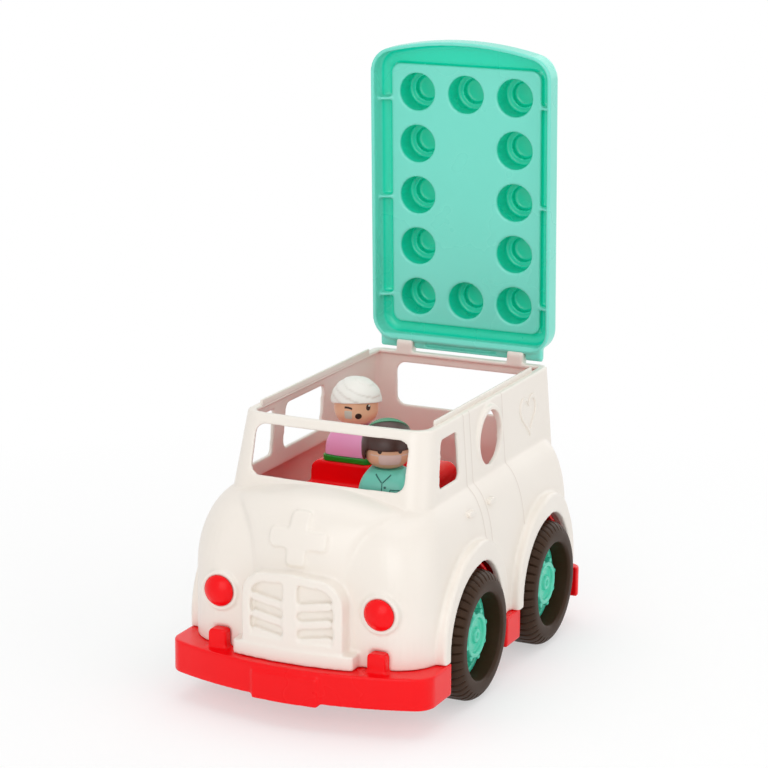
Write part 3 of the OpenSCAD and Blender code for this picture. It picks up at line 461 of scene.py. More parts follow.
def nose(name, inset, foot):
    """Upright nose that rolls over into a crowned bonnet and widens towards the windscreen."""
    top = bonnet_z - inset
    rings = []
    for i in range(-1, 17):
        a = math.pi / 2 * max(i, 0) / 16
        u = math.sin(a) ** (2 / 3)
        c = math.cos(a) ** (2 / 3)
        z = foot if i < 0 else roll_z + (top - roll_z) * u
        widening = 20 * (max(z - roll_z, 0) / (bonnet_z - roll_z)) ** 4
        drop = 7.5 * max(z - crown_z, 0) / (bonnet_z - crown_z)
        outline = plan_outline(34 - inset + widening, inset - 75 - 40.5 * c, -45, 12, 1, 2.5)
        rings.append([(x, y, z - drop * (x / 50) ** 2) for x, y in outline])
    return loft(name, rings)


def house_side(z):
    """Half width of the house at a height."""
    return 61.5 - 3.2 * (z - waist_z) / (rim_z - waist_z)


def house(name, inset, foot, top):
    """House that tapers from the waist to the rim, with a leaning windscreen."""
    rings = []
    for z in (foot, top):
        u = (z - waist_z) / (rim_z - waist_z)
        outline = plan_outline(house_side(z) - inset, inset - 82.3 + 12.1 * u, 115 - u - inset,
                               max(13 - inset, 1), max(6 - inset, 1), 1.5)
        rings.append([(x, y, z) for x, y in outline])
    return loft(name, rings)


def on_nose(name, outline, height):
    """Flat front shape raised out of the nose by a height."""
    return carved(prism(name, outline, -140, -75, "y"), "INTERSECT", nose("swollen", -height, 20))


def grille_arch(inset, foot):
    """Arched front outline of the grille."""
    half_width = 31 - inset
    crown = 87 - inset
    corner = 15 - inset
    points = [(-half_width, foot), (half_width, foot)]
    points += arc((half_width - corner, crown - corner - 1.5), corner, 0, 80, 10)
    points += [(0, crown)]
    return points + arc((corner - half_width, crown - corner - 1.5), corner, 100, 180, 10)


shell = lower_body("shell", 0, body_foot_z)
shell_steps = [("UNION", nose("bonnet", 0, body_foot_z)), ("UNION", house("house", 0, 105, rim_z))]
for points in (round_rect(35.3, 10, 2.5, (0, 104.2)), round_rect(11.7, 29.2, 2.5, (0, 104.2))):
    shell_steps.append(("UNION", on_nose("cross", points, 1.7)))
shell_steps.append(("UNION", on_nose("grille_floor", grille_arch(0, 40), 8)))
opening = grille_arch(5.5, 48.4)
for side in (-1, 1):
    half = [(x, z) for x, z in opening if x * side > 0] + [(4.5 * side, 81.2), (4.5 * side, 48.4)]
    half.sort(key=lambda p: math.atan2(p[1] - 62, p[0] - 15 * side))
    pocket = prism("pocket", half, -140, -115.5, "y")
    pocket = carved(pocket, "DIFFERENCE", nose("pocket_floor", -4.2, 20))
    shell_steps.append(("DIFFERENCE", pocket))
for side in (-1, 1):
    for i in range(3):
        mid = (side * 12.6, 49.2 + 10 * i)
        slat = []
        c, s = math.cos(math.radians(9 * side)), math.sin(math.radians(9 * side))
        for x, z in round_rect(24, 5, 2):
            slat.append((mid[0] + x * c - z * s, mid[1] + x * s + z * c))
        shell_steps.append(("UNION", on_nose("louvre", slat, 7.3)))
ledge = [(-37, 35.5), (37, 35.5), (37, 43.6), (-37, 43.6)]
shell_steps.append(("UNION", on_nose("ledge", ledge, 8.6)))
for side in (-1, 1):
    for y in (front_axle_y, rear_axle_y):
        disc = [(0, 72 * side), (flare_radius, 72 * side)]
        disc += [(r, h * side) for r, h in arc((49.2, 78.2), 1.8, 0, 90, 6)] + [(0, 80 * side)]
        flare = turned("flare", disc, (0, y, axle_z + 4), "x", 128)
        for vertex in flare.data.vertices:
            rearward = (vertex.co.y * 1000 - datum_y - y) / flare_radius
            proud = 0.15 + 0.85 * min(1, max(0, 0.8 - rearward))
            vertex.co.x = side * (side_x / 1000 + (abs(vertex.co.x) - side_x / 1000) * proud)
        ground = [(-200, -200), (200, -200), (200, 200), (-200, 200)]
        flare = carved(flare, "DIFFERENCE", prism("below", ground, -60, body_foot_z + 0.3, "z"))
        shell_steps.append(("UNION", flare))
    bezel = [(0, -105), (11.6, -105), (11.6, -112.2), (10.9, -112.7), (9.9, -112.7), (9.2, -112.2)]
    bezel += [(9, -111.6), (0, -111.6)]
    shell_steps.append(("UNION", turned("bezel", bezel, (lamp_x * side, 0, lamp_z), "y")))
    lug_ends = (lug_inner_x * side, lug_outer_x * side)
    lug = [(0, lug_ends[0]), (4.75, lug_ends[0]), (4.75, lug_ends[1]), (0, lug_ends[1])]
    shell_steps.append(("UNION", turned("lug", lug, (0, hinge_y, hinge_z), "x", 48)))
    lug_foot = [(109, 153), (114, 153), (118.2, hinge_z), (109, hinge_z)]
    shell_steps.append(("UNION", prism("lug_foot", lug_foot, min(lug_ends), max(lug_ends), "x")))
ring = [(0, 50), (19, 50), (19, 60.9), (18.2, 61.5), (0, 61.5)]
shell_steps.append(("UNION", turned("window_ring", ring, (0, porthole_y, porthole_z), "x")))
shell_steps.append(("DIFFERENCE", lower_body("lower_cavity", wall, 20)))
shell_steps.append(("DIFFERENCE", nose("nose_cavity", wall, 20)))
shell_steps.append(("DIFFERENCE", house("house_cavity", wall, 102, rim_z - 2.5)))
shell_steps.append(("DIFFERENCE", house("rim_opening", 5, rim_z - 4, rim_z + 8)))
shell_steps.append(("DIFFERENCE", prism("windscreen", round_rect(95, 28, 6, (0, 141)), -95, -60, "y")))
shell_steps.append(("DIFFERENCE", prism("rear_window", round_rect(86, 27.1, 6, (0, 139.05)), 100, 125, "y")))
porthole = [(0, 40), (16, 40), (16, 80), (0, 80)]
round_window = turned("round_window", porthole, (0, porthole_y, porthole_z), "x")
shell_steps.append(("DIFFERENCE", round_window))
side_window = round_rect(51, 27.1, 4, (11.5, 139.05))
shell_steps.append(("DIFFERENCE", prism("side_window", side_window, -80, -40, "x")))
cab_window = arc((-32, 128.5), 3, -90, 0, 4) + arc((-32, 149.6), 3, 0, 90, 4)
cab_window += arc((-49.2, 149.6), 3, 90, 172, 4) + arc((-54.4, 128.5), 3, 172, 270, 4)
for side in (-1, 1):
    cab_ends = sorted((45 * side, 90 * side))
    shell_steps.append(("DIFFERENCE", prism("cab_window", cab_window, cab_ends[0], cab_ends[1], "x")))
    for y in (front_axle_y, rear_axle_y):
        bore = [(0, 62 * side), (arch_radius, 62 * side), (arch_radius, 90 * side), (0, 90 * side)]
        shell_steps.append(("DIFFERENCE", turned("arch", bore, (0, y, axle_z), "x", 128)))
    tab_cut = [(-6.2, 20), (6.2, 20)] + arc((3.2, 43.8), 3, 0, 90, 6) + arc((-3.2, 43.8), 3, 90, 180, 6)
    tab_cut = [(x + tab_x * side, z) for x, z in tab_cut]
    shell_steps.append(("DIFFERENCE", prism("tab_cut", tab_cut, -125, -109, "y")))
body = moulded("body_shell_moulding", shell, shell_steps, 0.85, 4)

# Off-white ABS, satin mould: warm, with three door seams in each side, drawn as thin grooves by a bump and
# darkened in the groove with painted shade
white_abs = moulded_plastic("off_white_ABS_satin", "#F1EAE1", "#EDE5DB", 0.34)
seam_place = add(white_abs, "ShaderNodeTexCoord", {}, {})
seam_axes = add(white_abs, "ShaderNodeSeparateXYZ", {}, {"Vector": seam_place.outputs["Object"]})
seam_depth = None
for y in (-20.4, -11.7, 36.5):
    off = add(white_abs, "ShaderNodeMath", {"operation": "SUBTRACT", 1: (y + datum_y) / 1000},
              {0: seam_axes.outputs["Y"]})
    away = add(white_abs, "ShaderNodeMath", {"operation": "ABSOLUTE"}, {0: off.outputs[0]})
    line = add(white_abs, "ShaderNodeMapRange",
               {"From Min": 0.0002, "From Max": 0.0008, "To Min": 1.0, "To Max": 0.0},
               {"Value": away.outputs[0]})
    if seam_depth is None:
        seam_depth = line.outputs["Result"]
    else:
        joined = add(white_abs, "ShaderNodeMath", {"operation": "MAXIMUM"},
                     {0: seam_depth, 1: line.outputs["Result"]})
        seam_depth = joined.outputs[0]
seam_faces = add(white_abs, "ShaderNodeSeparateXYZ", {}, {"Vector": seam_place.outputs["Normal"]})
seam_out = add(white_abs, "ShaderNodeMath", {"operation": "ABSOLUTE"}, {0: seam_axes.outputs["X"]})
seam_skin = add(white_abs, "ShaderNodeMath", {"operation": "MULTIPLY"},
                {0: seam_axes.outputs["X"], 1: seam_faces.outputs["X"]})
for test, place, value in (
    ("GREATER_THAN", 0.0575, seam_out), ("LESS_THAN", 0.0747, seam_out), ("GREATER_THAN", 0.01, seam_skin),
):
    allowed = add(white_abs, "ShaderNodeMath", {"operation": test, 1: place}, {0: value.outputs[0]})
    kept = add(white_abs, "ShaderNodeMath", {"operation": "MULTIPLY"},
               {0: seam_depth, 1: allowed.outputs[0]})
    seam_depth = kept.outputs[0]
white_shader = white_abs.node_tree.nodes["Principled BSDF"]
plain_tint = white_shader.inputs["Base Color"].links[0].from_socket
plain_bump = white_shader.inputs["Normal"].links[0].from_socket
# Inside each seam the colour darkens towards #E3D8CE: painted shade in the groove
seam_painted_shade = add(white_abs, "ShaderNodeMix", {"data_type": "RGBA", 7: linear("#E3D8CE")},
                {0: seam_depth, 6: plain_tint})
seam_bump = add(white_abs, "ShaderNodeBump", {"Strength": 0.4, "Distance": 0.0005, "invert": True},
                {"Height": seam_depth, "Normal": plain_bump})
white_abs.node_tree.links.new(seam_painted_shade.outputs[2], white_shader.inputs["Base Color"])
white_abs.node_tree.links.new(seam_bump.outputs["Normal"], white_shader.inputs["Normal"])
body.data.materials.append(white_abs)
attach(body, "vehicle")
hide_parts("body_shell")

# Body trim
# Small raised forms of the same moulding: the lips that locate the lid on both rails,
# two door handle bars and a plain heart outline on the left side.

lip_section = [(53.3, 159.5), (54.8, 159.5), (54.8, 163.1), (54.4, 163.5), (53.7, 163.5), (53.3, 163.1)]
trim = prism("lip", lip_section, -51.2, 93.5, "y")
trim_steps = [("UNION", prism("lip", [(-x, z) for x, z in reversed(lip_section)], -51.2, 93.5, "y"))]
for y in (-35, -5.5):
    trim_steps.append(("UNION", prism("handle", round_rect(8, 3.2, 1.5, (y, 107.4)), 67, 71.6, "x")))
heart_mid = (76.4, 138.7)


def heart(size):
    """Heart outline on the left side, a share of its full size."""
    points = []
    for i in range(48):
        t = 2 * math.pi * i / 48
        u = 13.6 * math.sin(t) ** 3
        v = 11.1 * math.cos(t) - 4.3 * math.cos(2 * t) - 1.7 * math.cos(3 * t) - 0.85 * math.cos(4 * t)
        points.append((heart_mid[0] + u * size, heart_mid[1] + 1 + v * size))
    return points


emblem = prism("emblem", heart(1), 58.7, 70, "x")
emblem = carved(emblem, "DIFFERENCE", prism("emblem_inside", heart(0.76), 50, 80, "x"))
emblem = carved(emblem, "INTERSECT", house("emblem_skin", -0.9, 105, 170))
trim_steps.append(("UNION", emblem))
body_trim = moulded("body_trim_moulding", trim, trim_steps, 0.4, 4)
body_trim.data.materials.append(white_abs)
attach(body_trim, "vehicle")

# Headlamps
# Domed lenses, moulded in the same red ABS as the chassis.
# Each has a stem behind it that is pressed into a hole in the fender.

for side, hand in ((1, "left"), (-1, "right")):
    lens = [(0, -104.5), (3.5, -104.5), (3.5, -112.2), (8.6, -112.2), (8.9, -112.6)]
    lens += [(r, -y) for r, y in arc((0, 104.6), 12.2, 42, 90, 12)[:-1]] + [(0, -116.8)]
    lamp_lens = turned(f"headlamp_{hand}_lens", lens, (lamp_x * side, 0, lamp_z), "y", 64)
    lamp_lens.data.materials.append(red_abs)
    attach(lamp_lens, "vehicle")
    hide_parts(f"headlamp_{hand}")

# Roof lid
# One teal ABS moulding, standing open: a skirt, a sunken tray with twelve hollow two-step studs,
# stiffening ribs and a hinge bar that snaps into the lugs of the body.

lid_turn = 88
panel_width = 98
panel_length = 162
panel_wall = 2.2
stud_mid_y = 20.3
stud_pitch = 32
socket_radius = 11.5
socket_z = 186
step_radius = 7.55
step_z = 190.5
bar_radius = 2.4
lug_play = 0.5


def lid_shell(name, inset, foot):
    """Lid as a box with a rounded roof edge."""
    rings = []
    for i in range(-1, 9):
        a = math.pi / 2 * max(i, 0) / 8
        roll = inset + 5 * (1 - math.cos(a))
        z = foot if i < 0 else 172 - inset + 5 * math.sin(a)
        outline = plan_outline(58.7 - roll, roll - 76.7, 111 - roll, 15 - roll, 14 - roll, 5, 0.05)
        rings.append([(x, y, z) for x, y in outline])
    return loft(name, rings)


lid_steps = [("DIFFERENCE", lid_shell("lid_inside", 2.2, 150))]
panel = round_rect(panel_width, panel_length, 6, (0, stud_mid_y))
lid_steps.append(("UNION", prism("panel", panel, 170.5, 176.5, "z")))
tray = round_rect(panel_width - 2 * panel_wall, panel_length - 2 * panel_wall, 3.8, (0, stud_mid_y))
lid_steps.append(("DIFFERENCE", prism("tray", tray, 172.7, 190, "z")))
stud_mids = []
for i in (-1, 0, 1):
    for j in (-2, -1, 0, 1, 2):
        if i or abs(j) == 2:
            stud_mids.append((stud_pitch * i, stud_mid_y + stud_pitch * j))
for x, y in stud_mids:
    stud = [(0, 171.5), (13.7, 171.5)] + arc((12.2, 186.7), 1.5, 0, 90, 5)
    stud += [(9.75, 188.2)] + arc((8.25, 191.2), 1.5, 0, 90, 5) + [(0, 192.7)]
    lid_steps.append(("UNION", turned("stud", stud, (x, y, 0), "z", 64)))
    socket = [(0, 160), (socket_radius, 160), (socket_radius, socket_z)]
    socket += [(step_radius, socket_z), (step_radius, step_z), (0, step_z)]
    lid_steps.append(("DIFFERENCE", turned("socket", socket, (x, y, 0), "z", 64)))
for side in (-1, 1):
    for y in (84.2, 22.4, -38.8):
        web = [(48.5, 174.8), (57.6, 174.8), (57.6, 166.2), (53.5, 167.4), (48.5, 170.2)]
        web = [(x * side, z) for x, z in web]
        lid_steps.append(("UNION", prism("rib", web, y - 0.9, y + 0.9, "y")))
strip = [(107, hinge_z - bar_radius), (hinge_y, hinge_z - bar_radius)]
strip += arc((hinge_y, hinge_z), bar_radius, -90, 90, 8) + [(107, hinge_z + bar_radius)]
hinge_strip = prism("hinge_strip", strip, -53.7, 53.7, "x")
slot = [(-24, 111.8), (24, 111.8), (24, 114), (-24, 114)]
hinge_strip = carved(hinge_strip, "DIFFERENCE", prism("strip_slot", slot, 150, 165, "z"))
for side in (-1, 1):
    gap = sorted(((lug_inner_x - lug_play) * side, (lug_outer_x + lug_play) * side))
    lug_room = prism("lug_room", round_rect(20, 40, 0.1, (118.2, hinge_z)), gap[0], gap[1], "x")
    hinge_strip = carved(hinge_strip, "DIFFERENCE", lug_room)
lid_steps.append(("UNION", hinge_strip))
lid = moulded("roof_lid_moulding", lid_shell("lid_outside", 0, 160.8), lid_steps, 0.75, 4)
# The hollows and the channel round the panel are marked for a deeper tint, and the outer skin isn't; the
# tint is painted glow and shade, standing in for light that shines through the thin walls and bounces in the
# hollows
glow_and_shade_mark = lid.data.attributes.new("hollow", "FLOAT", "POINT")
for vertex in lid.data.vertices:
    x, y, z = vertex.co.x * 1000, vertex.co.y * 1000 - datum_y, vertex.co.z * 1000
    nearest = min(math.hypot(x - mid_x, y - mid_y) for mid_x, mid_y in stud_mids)
    in_wide = nearest < socket_radius + 0.8 and z < socket_z + 0.8
    in_step = nearest < step_radius + 0.65 and z < step_z + 0.7
    from_mid = y - stud_mid_y
    beside_panel = max(abs(x) - panel_width / 2, abs(from_mid) - panel_length / 2)
    outward = (vertex.normal.x * x + vertex.normal.y * from_mid) / (math.hypot(x, from_mid) + 1)
    in_channel = z < 175.4 and (beside_panel > 1.2 and outward < 0.25 or -0.6 < beside_panel <= 1.2)
    if in_wide or in_step or in_channel:
        glow_and_shade_mark.data[vertex.index].value = min(1, max(0, (z - 170.9) / 1.6))
hinge_place = Matrix.Translation((0, (hinge_y + datum_y) / 1000, hinge_z / 1000))
lid.data.transform(hinge_place @ Matrix.Rotation(math.radians(-lid_turn), 4, "X") @ hinge_place.inverted())

# Teal ABS of the lid: light, with a clear soft highlight; in its hollows a deeper, saturated painted tint
# stands in for the glow of light through the thin walls and the shade inside them
teal_abs = moulded_plastic("teal_ABS_polished", "#78E2CF", "#70DECA", 0.28)
teal_shader = teal_abs.node_tree.nodes["Principled BSDF"]
# The hollow mark mixes in the deeper teal: painted glow and shade in the hollows
teal_glow_and_shade = add(teal_abs, "ShaderNodeAttribute", {"attribute_name": "hollow"}, {})
teal_glow_and_shade_tint = add(teal_abs, "ShaderNodeMix", {"data_type": "RGBA", 7: linear("#10E0BE")},
                {0: teal_glow_and_shade.outputs["Fac"], 6: teal_shader.inputs["Base Color"].links[0].from_socket})
teal_abs.node_tree.links.new(teal_glow_and_shade_tint.outputs[2], teal_shader.inputs["Base Color"])
lid.data.materials.append(teal_abs)
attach(lid, "lid")
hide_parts("roof_lid")

# Figures
# Two toddler figures, each on a square base that drops over a seat peg: ABS base and torso,
# and a soft vinyl head that turns on the neck. Faces and shirt are pad printed.

base_high = 3.4
torso_high = 16.8
chin_z = 20.4
head_half = 12.9
head_high = 25
medic_spot = (peg_x, front_seat_y, front_seat_z)
patient_spot = (-peg_x, bench_y, bench_z)
medic_turn = 11
head_turn = 31


def set_down(piece, spot, turn):
    """Piece made about the datum, turned and set on its peg."""
    centre = Matrix.Translation((0, datum_y / 1000, 0))
    seat = Matrix.Translation([c / 1000 for c in spot])
    piece.data.transform(seat @ centre @ Matrix.Rotation(math.radians(turn), 4, "Z") @ centre.inverted())
    return piece


def dress(piece, material, body_name, node):
    piece.data.materials.append(material)
    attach(piece, body_name)
    if node:
        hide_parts(node)


def torso_half(z):
    """Half width, half depth and corner radius of a torso at a height."""
    u = (z - base_high) / torso_high
    return 15 - 5.5 * u ** 3, 15 - 6.5 * u ** 3, 5 + u


def figure_body(who, spot, turn, base_material, torso_material):
    """Base and torso of a figure."""
    base = prism("base", round_rect(31.2, 31.2, 5), 0, base_high, "z")
    room = turned("peg_room", [(0, -1), (9.9, -1), (9.9, 6), (0, 6)], (0, 0, 0), "z")
    base = moulded(f"{who}_base_moulding", base, [("DIFFERENCE", room)], 0.4, 3)
    dress(set_down(base, spot, turn), base_material, who, f"{who}_base")
    rings = []
    for i in range(17):
        z = base_high + torso_high * i / 16
        across, deep, radius = torso_half(z)
        rings.append([(x, y, z) for x, y in plan_outline(across, -deep, deep, radius, radius, 0.6, 0.6)])
    torso = moulded(f"{who}_torso_moulding", loft("torso", rings), [], 0.45, 5)
    dress(set_down(torso, spot, turn), torso_material, who, f"{who}_torso")


def head_radius(z):
    """Radius of a head at a height over the chin."""
    if z < 9:
        return 3.9 + math.sqrt(81 - (9 - z) ** 2)
    return head_half if z < 13 else 0.9 + math.sqrt(144 - (z - 13) ** 2)


def figure_head(who, spot):
    """Head of a figure."""
    profile = [(0, 0)] + arc((3.9, 9), 9, -90, 0, 16) + arc((0.9, 13), 12, 0, 90, 20) + [(0, head_high)]
    head = turned(f"{who}_head_vinyl", [(r, h + chin_z) for r, h in profile], (0, 0, 0), "z", 96)
    dress(set_down(head, spot, head_turn), skin, f"{who}_head_turning", f"{who}_head")


def finely(outline):
    """Outline with points close enough to follow a round surface."""
    points = []
    for k, (x, y) in enumerate(outline):
        far_x, far_y = outline[(k + 1) % len(outline)]
        count = math.ceil(math.hypot(far_x - x, far_y - y) / 0.6) or 1
        points += [(x + (far_x - x) * i / count, y + (far_y - y) * i / count) for i in range(count)]
    return points


def printed(name, outline, angle, height, spot, ink, body_name, lift=0.1):
    """Print on a head: an outline at an angle from the face's middle and a height over the chin."""
    rings = []
    for share in (0.1, 0.25, 0.4, 0.55, 0.7, 0.85, 0.97, 1):
        proud = lift if share < 1 else -0.3
        ring = []
        for u, v in finely(outline):
            z = height + v * share
            a = math.radians(angle) + u * share / head_half
            r = head_radius(z) + proud
            ring.append((r * math.sin(a), -r * math.cos(a), z + chin_z))
        rings.append(ring)
    dress(set_down(loft(name, rings), spot, head_turn), ink, body_name, None)


def oval(width, height):
    """Oval outline."""
    angles = [math.pi * i / 16 for i in range(32)]
    return [(width / 2 * math.cos(a), height / 2 * math.sin(a)) for a in angles]


def crown(name, swell):
    """Solid over a whole head, larger by a thickness on the sides; hair, cap and bandage are cut from it."""
    r = head_half + swell
    top = head_high + swell * 3 / 2.2
    dome = r - 0.9
    profile = [(0, 0)] + arc((r - 9, 9), 9, -90, 0, 12)
    profile += arc((0.9, top - dome), dome, 0, 90, 24) + [(0, top)]
    return turned(name, [(r, h + chin_z) for r, h in profile], (0, 0, 0), "z", 96)


def under_plane(name, height, tilt):
    """Space under a plane across a head, raised at the front by a tilt."""
    c, s = math.cos(math.radians(tilt)), math.sin(math.radians(tilt))
    corners = ((-40, 0), (40, 0), (40, -80), (-40, -80))
    outline = [(y * c + z * s, chin_z + height - y * s + z * c) for y, z in corners]
    return prism(name, outline, -40, 40, "x")


# Soft vinyl of the heads: matt and faintly mottled
skin = moulded_plastic("skin_vinyl_matt", "#F0BE9B", "#EDB691", 0.5, 1.53, 12, 0.6)
# Gloss dark ink of eyes and mouth
dark_ink = moulded_plastic("dark_brown_ink", "#2F1712", "#3A1D16", 0.35, 1.5, 2, 0.4)
# White ink of the glint
white_ink = moulded_plastic("white_ink", "#F7F5F1", "#F0EEEA", 0.4, 1.5, 2, 0.4)

# Riding figure
# Green base and pink torso in ABS, pressed together.
# A white vinyl head bandage, moulded in wound turns, is pressed over the crown.

# Green ABS of the base
green_abs = moulded_plastic("green_ABS_satin", "#128A14", "#0F8212", 0.35)
# Pink ABS of the torso
pink_abs = moulded_plastic("pink_ABS_satin", "#F2A2CE", "#EF9AC8", 0.38)
figure_body("patient", patient_spot, 0, green_abs, pink_abs)
figure_head("patient", patient_spot)
wraps = crown("wraps", 2.2)
for vertex in wraps.data.vertices:
    x, y, z = vertex.co.x * 1000, vertex.co.y * 1000 - datum_y, vertex.co.z * 1000 - chin_z
    turn_share = (0.93 * z + 0.3 * x - 0.22 * y) / 4.4
    step_in = 0.55 * (turn_share - math.floor(turn_share)) ** 2
    out = Vector((x, y, max(z - 13, 0))).normalized()
    vertex.co -= out * step_in / 1000
bandage_steps = [("DIFFERENCE", crown("bandage_inside", 0.06))]
bandage_steps.append(("DIFFERENCE", under_plane("bandage_edge", 12.9, 9)))
bandage = moulded("patient_bandage_vinyl", wraps, bandage_steps, 0.35, 2)
# White vinyl of the bandage: matt, with a fine cloth texture moulded in
bandage_vinyl = moulded_plastic("white_vinyl_matt", "#F1EFE9", "#EAE7DF", 0.6, 1.53, 10, 0.8)
set_down(bandage, patient_spot, head_turn)
dress(bandage, bandage_vinyl, "patient_head_turning", "patient_bandage")
# Pale ink of the plaster
plaster_ink = moulded_plastic("pale_grey_ink", "#CFCDC0", "#C8C6B8", 0.5, 1.5, 3, 0.5)
wink = [(2.4 * t / 6, 0.5 - 0.011 * (t + 2) ** 2) for t in range(-6, 7)]
wink += [(2.4 * t / 6, -0.75 - 0.011 * (t + 2) ** 2) for t in range(6, -7, -1)]
for name, outline, angle, height, ink, lift in (
    ("patient_wink", wink, -27, 12.4, dark_ink, 0.1),
    ("patient_eye", oval(3, 3.9), 27, 12.2, dark_ink, 0.1),
    ("patient_glint", oval(1.1, 1.2), 29, 13.2, white_ink, 0.2),
    ("patient_mouth", oval(4.1, 3.7), 0, 7.2, dark_ink, 0.1),
    ("patient_plaster", round_rect(4.7, 4.9, 0.5), -27.5, 7.8, plaster_ink, 0.1),
):
    printed(name, outline, angle, height, patient_spot, ink, "patient_head_turning", lift)

# Driving figure
# Teal base and torso in ABS, pressed together.
# Brown vinyl hair is pressed over the head, and a green vinyl cap sits on the back of the crown.

# Teal ABS of the figure, a little greener than the lid
figure_teal = moulded_plastic("teal_ABS_figure", "#74D8C4", "#6AD2BC", 0.36)
figure_body("medic", medic_spot, medic_turn, figure_teal, figure_teal)
figure_head("medic", medic_spot)
face_room = round_rect(26.9, 40, 2.5, (0, chin_z + 12.5 - 20))
hair_steps = [("DIFFERENCE", crown("hair_inside", 0.06)), ("INTERSECT", under_plane("cap_line", 23.9, 42))]
hair_steps.append(("DIFFERENCE", under_plane("nape", 5, 0)))
hair_steps.append(("DIFFERENCE", prism("face_room", face_room, -40, 0, "y")))
hair = moulded("medic_hair_vinyl", crown("hair", 2.2), hair_steps, 0.35, 3)
# Brown vinyl of the hair: dark and satin, so that the brow catches a soft light
hair_vinyl = moulded_plastic("brown_vinyl_satin", "#44241B", "#3A1D15", 0.38, 1.53, 6, 0.9)
dress(set_down(hair, medic_spot, head_turn), hair_vinyl, "medic_head_turning", "medic_hair")
hem = carved(crown("hem", 2.5), "INTERSECT", under_plane("hem_top", 26.2, 42))
cap_steps = [("UNION", hem), ("DIFFERENCE", crown("cap_inside", 0.06))]
cap_steps.append(("DIFFERENCE", under_plane("cap_edge", 23.9, 42)))
cap = moulded("medic_cap_vinyl", crown("cap", 2.2), cap_steps, 0.35, 3)
# Green vinyl of the cap: matt, with soft cloth-like clouds
cap_vinyl = moulded_plastic("green_vinyl_matt", "#5C9B78", "#528D6C", 0.55, 1.53, 5, 0.8)
dress(set_down(cap, medic_spot, head_turn), cap_vinyl, "medic_head_turning", "medic_cap")
# Pale pink ink of the mask
mask_ink = moulded_plastic("pale_pink_ink", "#EBCFC7", "#E6C7BF", 0.5, 1.5, 3, 0.5)
# Dark teal ink of the shirt's print
shirt_ink = moulded_plastic("dark_teal_ink", "#1E6B62", "#236F66", 0.4, 1.5, 3, 0.5)
for name, outline, angle, height, ink, lift in (
    ("medic_eye_left", oval(2.9, 3.6), 27, 12.2, dark_ink, 0.1),
    ("medic_eye_right", oval(2.9, 3.6), -27, 12.2, dark_ink, 0.1),
    ("medic_mask", round_rect(14, 6.2, 1.4), 0, 6.9, mask_ink, 0.2),
    ("medic_strap_left", round_rect(5.6, 0.7, 0.3), 43, 9.3, mask_ink, 0.1),
    ("medic_strap_right", round_rect(5.6, 0.7, 0.3), -43, 9.3, mask_ink, 0.1),
):
    printed(name, outline, angle, height, medic_spot, ink, "medic_head_turning", lift)


def shirt_print(name, outline):
    """Print on the driving figure's chest."""
    mid = [sum(p[k] for p in outline) / len(outline) for k in (0, 1)]
    rings = []
    for share in (0.05, 0.5, 0.95, 1):
        proud = 0.12 if share < 1 else -0.3
        ring = []
        for u, v in finely(outline):
            x = mid[0] + (u - mid[0]) * share
            z = mid[1] + (v - mid[1]) * share
            across, deep, radius = torso_half(z)
            ring.append((x, 0.6 * (x / (across - radius)) ** 2 - deep - proud, z))
        rings.append(ring)
    dress(set_down(loft(name, rings), medic_spot, medic_turn), shirt_ink, "medic", None)


for side, hand in ((1, "left"), (-1, "right")):
    collar = [(0.1 * side, 13.6), (0.1 * side, 14.5), (4.2 * side, 18.7), (4.7 * side, 18.1)]
    shirt_print(f"shirt_collar_{hand}", collar)
shirt_print("shirt_placket", [(-0.25, 4.4), (0.25, 4.4), (0.25, 13.8), (-0.25, 13.8)])
for k in range(3):
    button = [(1.8 + u, 6 + 2.9 * k + v) for u, v in oval(1.4, 1.4)]
    shirt_print(f"shirt_button_{k}", button)
for name, low, high in (("left", 4.6, 5.1), ("right", 9.9, 10.4)):
    shirt_print(f"shirt_pocket_{name}", [(low, 5.6), (high, 5.6), (high, 10.6), (low, 10.6)])
for name, low, high in (("foot", 5.5, 6), ("flap", 8.9, 9.4), ("top", 10.4, 10.9)):
    shirt_print(f"shirt_pocket_{name}", [(4.6, low), (10.4, low), (10.4, high), (4.6, high)])

# Floor, light and camera
# A plain white sheet under soft studio light, seen from the height and side of the photograph.


def shown_rays(owner):
    """Rays that show the plain background: camera, glossy and transmission rays."""
    path = add(owner, "ShaderNodeLightPath", {}, {})
    direct = add(owner, "ShaderNodeMath", {"operation": "MAXIMUM"},
                 {0: path.outputs["Is Camera Ray"], 1: path.outputs["Is Glossy Ray"]})
    shown = add(owner, "ShaderNodeMath", {"operation": "MAXIMUM"},
                {0: direct.outputs[0], 1: path.outputs["Is Transmission Ray"]})
    return shown.outputs[0]


floor_mesh = bpy.data.meshes.new("floor")
floor_mesh.from_pydata([(-8, -8, 0), (8, -8, 0), (8, 8, 0), (-8, 8, 0)], [], [(0, 1, 2, 3)])
studio_floor = bpy.data.objects.new("studio_floor", floor_mesh)
bpy.context.scene.collection.objects.link(studio_floor)
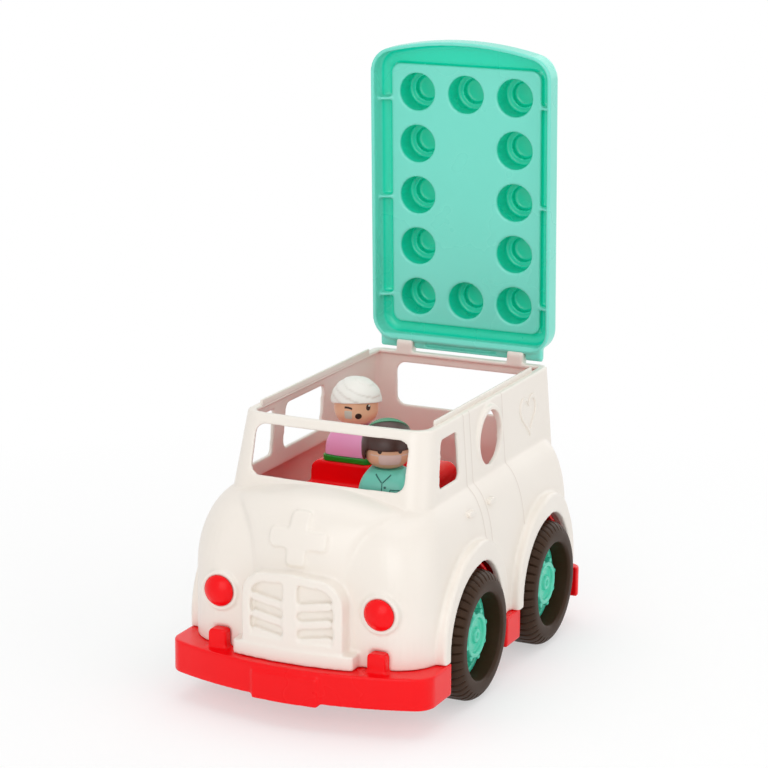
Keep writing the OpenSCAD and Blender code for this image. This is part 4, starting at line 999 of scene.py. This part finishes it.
# White paper: it keeps the shadow round the toy and runs out to plain white where the lamps fall off
paper = bpy.data.materials.new("white_paper_matt")
paper.use_nodes = True
paper_shader = paper.node_tree.nodes["Principled BSDF"]
paper_shader.inputs["Base Color"].default_value = linear("#FFFFFF")
paper_shader.inputs["Roughness"].default_value = 0.9
paper_place = add(paper, "ShaderNodeTexCoord", {}, {})
paper_far = add(paper, "ShaderNodeVectorMath", {"operation": "LENGTH"}, {0: paper_place.outputs["Object"]})
paper_fade = add(paper, "ShaderNodeMapRange", {"From Min": 0.2, "From Max": 0.55, "To Min": 0.5},
                 {"Value": paper_far.outputs["Value"]})
paper_share = add(paper, "ShaderNodeMath", {"operation": "MULTIPLY"},
                  {0: paper_fade.outputs["Result"], 1: shown_rays(paper)})
paper_glow = add(paper, "ShaderNodeEmission", {"Strength": 1.0}, {})
paper_mix = add(paper, "ShaderNodeMixShader", {},
                {0: paper_share.outputs[0], 1: paper_shader.outputs[0], 2: paper_glow.outputs[0]})
paper.node_tree.links.new(paper_mix.outputs[0], paper.node_tree.nodes["Material Output"].inputs["Surface"])
floor_mesh.materials.append(paper)

world = bpy.data.worlds.new("studio")
bpy.context.scene.world = world
world.use_nodes = True
sky_light = world.node_tree.nodes["Background"]
sky_light.inputs["Color"].default_value = linear("#FFFFFF")
sky_light.inputs["Strength"].default_value = 0.6
sky_white = add(world, "ShaderNodeBackground", {"Color": linear("#FFFFFF"), "Strength": 1.0}, {})
sky_mix = add(world, "ShaderNodeMixShader", {},
              {0: shown_rays(world), 1: sky_light.outputs[0], 2: sky_white.outputs[0]})
world.node_tree.links.new(sky_mix.outputs[0], world.node_tree.nodes["World Output"].inputs["Surface"])

lamp_aim = Vector((0, 0, 0.12))
for name, spot, size, watts in (
    ("overhead", (0.0, 0.2, 1.8), 1.8, 9.5),
    ("key", (0.3, -1.85, 0.85), 1.3, 10),
    ("fill", (1.9, -0.4, 0.8), 1.6, 5),
    ("back", (0.3, 1.9, 0.9), 1.4, 5),
):
    lamp = bpy.data.lights.new(name, "AREA")
    lamp.size = size
    lamp.energy = watts
    stand = bpy.data.objects.new(name, lamp)
    stand.location = spot
    stand.rotation_euler = (lamp_aim - Vector(spot)).to_track_quat("-Z", "Y").to_euler()
    bpy.context.scene.collection.objects.link(stand)

azimuth = math.radians(24.69)
elevation = math.radians(13.75)
roll = math.radians(0.4)
camera_far = 1.58413
camera_aim = Vector((-0.0003, datum_y / 1000, 0.1673))
level = math.cos(elevation)
back = Vector((math.sin(azimuth) * level, -math.cos(azimuth) * level, math.sin(elevation)))
right = Vector((math.cos(azimuth), math.sin(azimuth), 0))
up = back.cross(right)
camera = bpy.data.cameras.new("camera")
camera.sensor_width = 36
camera.lens = 128
viewer = bpy.data.objects.new("camera", camera)
across = math.cos(roll) * right + math.sin(roll) * up
upright = math.cos(roll) * up - math.sin(roll) * right
aim = Matrix((across, upright, back)).transposed().to_4x4()
viewer.matrix_world = Matrix.Translation(camera_aim + back * camera_far) @ aim
bpy.context.scene.collection.objects.link(viewer)
bpy.context.scene.camera = viewer
bpy.context.scene.view_settings.view_transform = "Standard"
